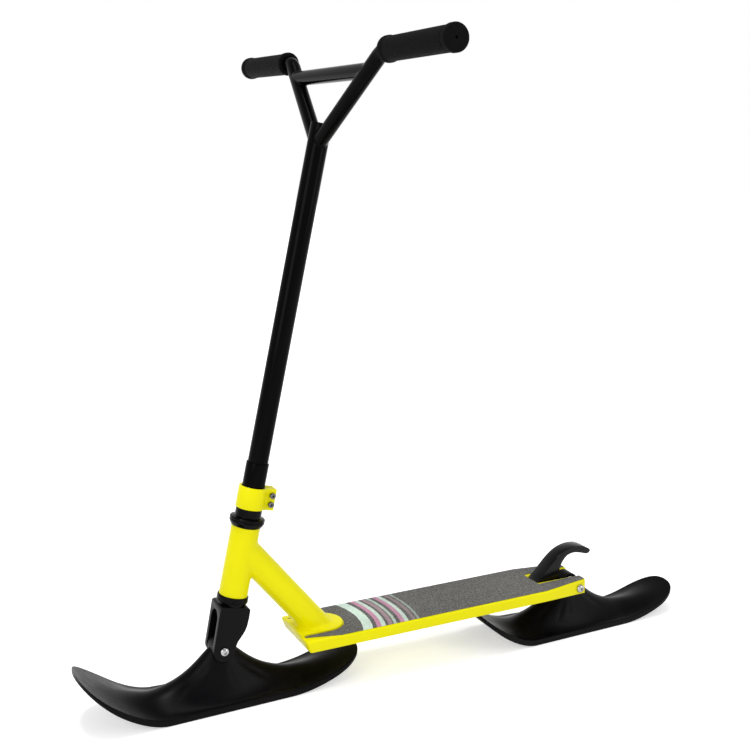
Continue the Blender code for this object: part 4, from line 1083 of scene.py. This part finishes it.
def fillet_section(spot, tangent, centre, base, tube, away, reach):
    """A closed ring across a weld: a hollow curve from the base onto the tube, then inside."""
    steps, depth = 8, 0.8 * MM
    feet = []
    for surface, side in ((base, spot - centre), (tube, away)):
        along = tangent.cross(outward(surface, spot)).normalized()
        if along.dot(side) < 0:
            along = -along
        feet.append(settled(surface, spot + along * reach))
    start, end = feet
    inside = (outward(base, spot) + outward(tube, spot)).normalized()
    below = [end - outward(tube, end) * depth, spot - inside * depth,
             start - outward(base, start) * depth]
    return curve(start, spot, end, steps) + below


def weld(name, base, tube, away, reach, slot, place=WORLD, ripple=0.1, pitch=2.6 * MM):
    """A weld run round a tube's foot, blended into both surfaces, with faint ripples."""
    body = "frame" if slot == "yellow_frame" else "steering"
    waves = 8
    path = evenly_spaced(meeting_line(tube, base, -away), pitch, waves)
    centre = sum(path, Vector()) / len(path)
    rings = []
    for index, spot in enumerate(path):
        tangent = (path[(index + 1) % len(path)] - path[index - 1]).normalized()
        size = reach * (1 + ripple * cos(2 * pi * index / waves))
        rings.append(fillet_section(spot, tangent, centre, base, tube, away, size))
    make(name, loft(rings, True), slot, body, place, 70)


def make_frame_welds():
    """The welds at the down tube's ends."""
    up = Vector((0, 0, 1))
    climb = Vector((cos(DOWN_TUBE_SLOPE), 0, sin(DOWN_TUBE_SLOPE)))
    down_tube = (DOWN_TUBE_POINT, climb, DOWN_TUBE_RADIUS)
    head_tube = (HEAD_BASE, STEERING.to_3x3() @ up, HEAD_TUBE_RADIUS)
    plate = (DECK @ (up * (GAP + PLATE_THICKNESS)), DECK.to_3x3() @ up, None)
    weld("weld_head_tube", head_tube, down_tube, -climb, 5.5 * MM, "yellow_frame", ripple=0.03)
    weld("weld_down_tube", plate, down_tube, climb, 4.2 * MM, "yellow_frame", pitch=3.4 * MM)


def make_handlebar_welds():
    """The welds round the risers' feet and the crossbar's ends."""
    trunk = (Vector((0, 0, 0)), Vector((0, 0, 1)), STEERER_RADIUS)
    for side, label in LEFT_AND_RIGHT:
        leg = Vector((0, side * cos(RISER_SLOPE), sin(RISER_SLOPE)))
        across = Vector((0, side, 0))
        riser = (Vector((0, side * RISER_CORNER, BAR_HEIGHT)), -leg, BAR_RADIUS)
        crossbar = (Vector((0, 0, CROSSBAR_HEIGHT)), across, BAR_RADIUS)
        weld("weld_riser_" + label, trunk, riser, leg, 2.6 * MM, "bar_black", STEERING)
        weld("weld_crossbar_" + label, riser, crossbar, -across, 3 * MM, "bar_black", STEERING)


def make_plate_weld():
    """The weld that runs the neck plate's front edge down onto the deck's rounded fold."""
    side_inset, ease = 0.6 * MM, 1.6 * MM
    front = -PLATE_FRONT / MM
    top = (GAP + PLATE_THICKNESS) / MM
    outline = in_metres([(front - 0.6, top - 0.15), (front + 0.2, 1.6), (front + 0.1, -0.6),
                         (-1.1, -3), (-2, -5.6), (-4, -4.6), (-5.2, -0.8), (-4.4, 1)])
    mesh = prism(eased(outline, ease, 5), PLATE_HALF_WIDTH - side_inset)
    mesh = bevelled(mesh, 0.5 * MM, 3, 60)
    make("weld_plate_front", mesh, "yellow_frame", "frame", DECK, 60)


# Studio

def make_camera():
    """The photo's viewpoint."""
    data = bpy.data.cameras.new("camera")
    data.lens = CAMERA_LENS
    data.sensor_width = SENSOR_WIDTH
    data.sensor_fit = "HORIZONTAL"
    data.clip_end = 100
    camera = added("camera", data)
    place = shift(CAMERA_PLACE)
    for angle, axis in CAMERA_TURNS:
        place = place @ spin(radians(angle), 4, axis)
    camera.matrix_world = place
    bpy.context.scene.camera = camera


def seen_directly(holder):
    """One for what the camera, a mirror or glass sees, and nought for other light."""
    rays = node(holder, "LightPath", {})
    first_two = calculated(holder, "MAXIMUM", rays["Is Camera Ray"], rays["Is Glossy Ray"])
    return calculated(holder, "MAXIMUM", first_two, rays["Is Transmission Ray"])


def make_world():
    """Even soft light, and where it is seen a white background under a dimmer ceiling."""
    world = bpy.data.worlds.new("studio")
    bpy.context.scene.world = world
    world.use_nodes = True
    world.node_tree.nodes.clear()
    white = (1, 1, 1, 1)
    place = node(world, "TexCoord", {})["Generated"]
    height = node(world, "SeparateXYZ", {"Vector": place})["Z"]
    glow = graded(world, height, 1, CEILING, *CEILING_RISE)
    lit = node(world, "Background", {"Color": white, "Strength": AMBIENT_LIGHT})
    seen = node(world, "Background", {"Color": white, "Strength": glow})
    both = {0: seen_directly(world), 1: lit[0], 2: seen[0]}
    mix = node(world, "MixShader", both)
    node(world, "OutputWorld", {"Surface": mix[0]})


def make_floor():
    """A white floor that takes the object's soft shadow and ends in the white background."""
    corners = [(-1, -1), (1, -1), (1, 1), (-1, 1)]
    mesh = mesh_of([(x * FLOOR_REACH, y * FLOOR_REACH, 0) for x, y in corners], [range(4)])
    floor = added("floor", mesh)
    floor.location.z = -FLOOR_DROP
    mat = bpy.data.materials.new("pale_floor")
    mat.use_nodes = True
    mat.node_tree.nodes.clear()
    diffuse = node(mat, "BsdfDiffuse", {"Color": (0.85, 0.85, 0.85, 1)})
    place = node(mat, "TexCoord", {})["Object"]
    distance = node(mat, "VectorMath", {0: place}, operation="LENGTH")["Value"]
    fade = graded(mat, distance, FLOOR_LIFT, 1, *FLOOR_FADE)
    seen = calculated(mat, "MULTIPLY", fade, seen_directly(mat))
    lift = node(mat, "Emission", {"Strength": seen})
    total = node(mat, "AddShader", {0: diffuse[0], 1: lift[0]})
    node(mat, "OutputMaterial", {"Surface": total[0]})
    mesh.materials.append(mat)


def area_light(name, place, target, size, power):
    """A soft box that faces a point."""
    data = bpy.data.lights.new(name, "AREA")
    data.shape = "RECTANGLE"
    data.size, data.size_y = size
    data.energy = power
    light = added(name, data)
    light.location = place
    aim = Vector(target) - Vector(place)
    light.rotation_euler = aim.to_track_quat("-Z", "Y").to_euler()


def make_lights():
    """Large soft boxes above and at both sides, and a small lamp overhead."""
    middle = (0, 0, 0.35)
    area_light("small_lamp", (0.74, -0.24, 2.9), (0.115, -0.05, 0.8), (0.28, 0.28), 16)
    area_light("top_light", (0.1, 0.1, 2.9), middle, (1.5, 1.5), 19)
    area_light("left_light", (2.4, 1.6, 1.5), middle, (1.4, 2), 28)
    area_light("right_light", (-1.8, 2.2, 1.4), middle, (1.2, 2), 20)


bpy.context.scene.view_settings.view_transform = "Standard"
make_camera()
make_world()
make_lights()
make_floor()
paint_cad_nodes()
make_skis()
make_deck()
make_grip_tape()
make_neck_plate()
make_frame_tubes()
make_headset()
make_clamp()
make_bar()
make_handlebar()
make_grips()
make_fork()
make_axles()
make_brake()
make_frame_welds()
make_handlebar_welds()
make_plate_weld()
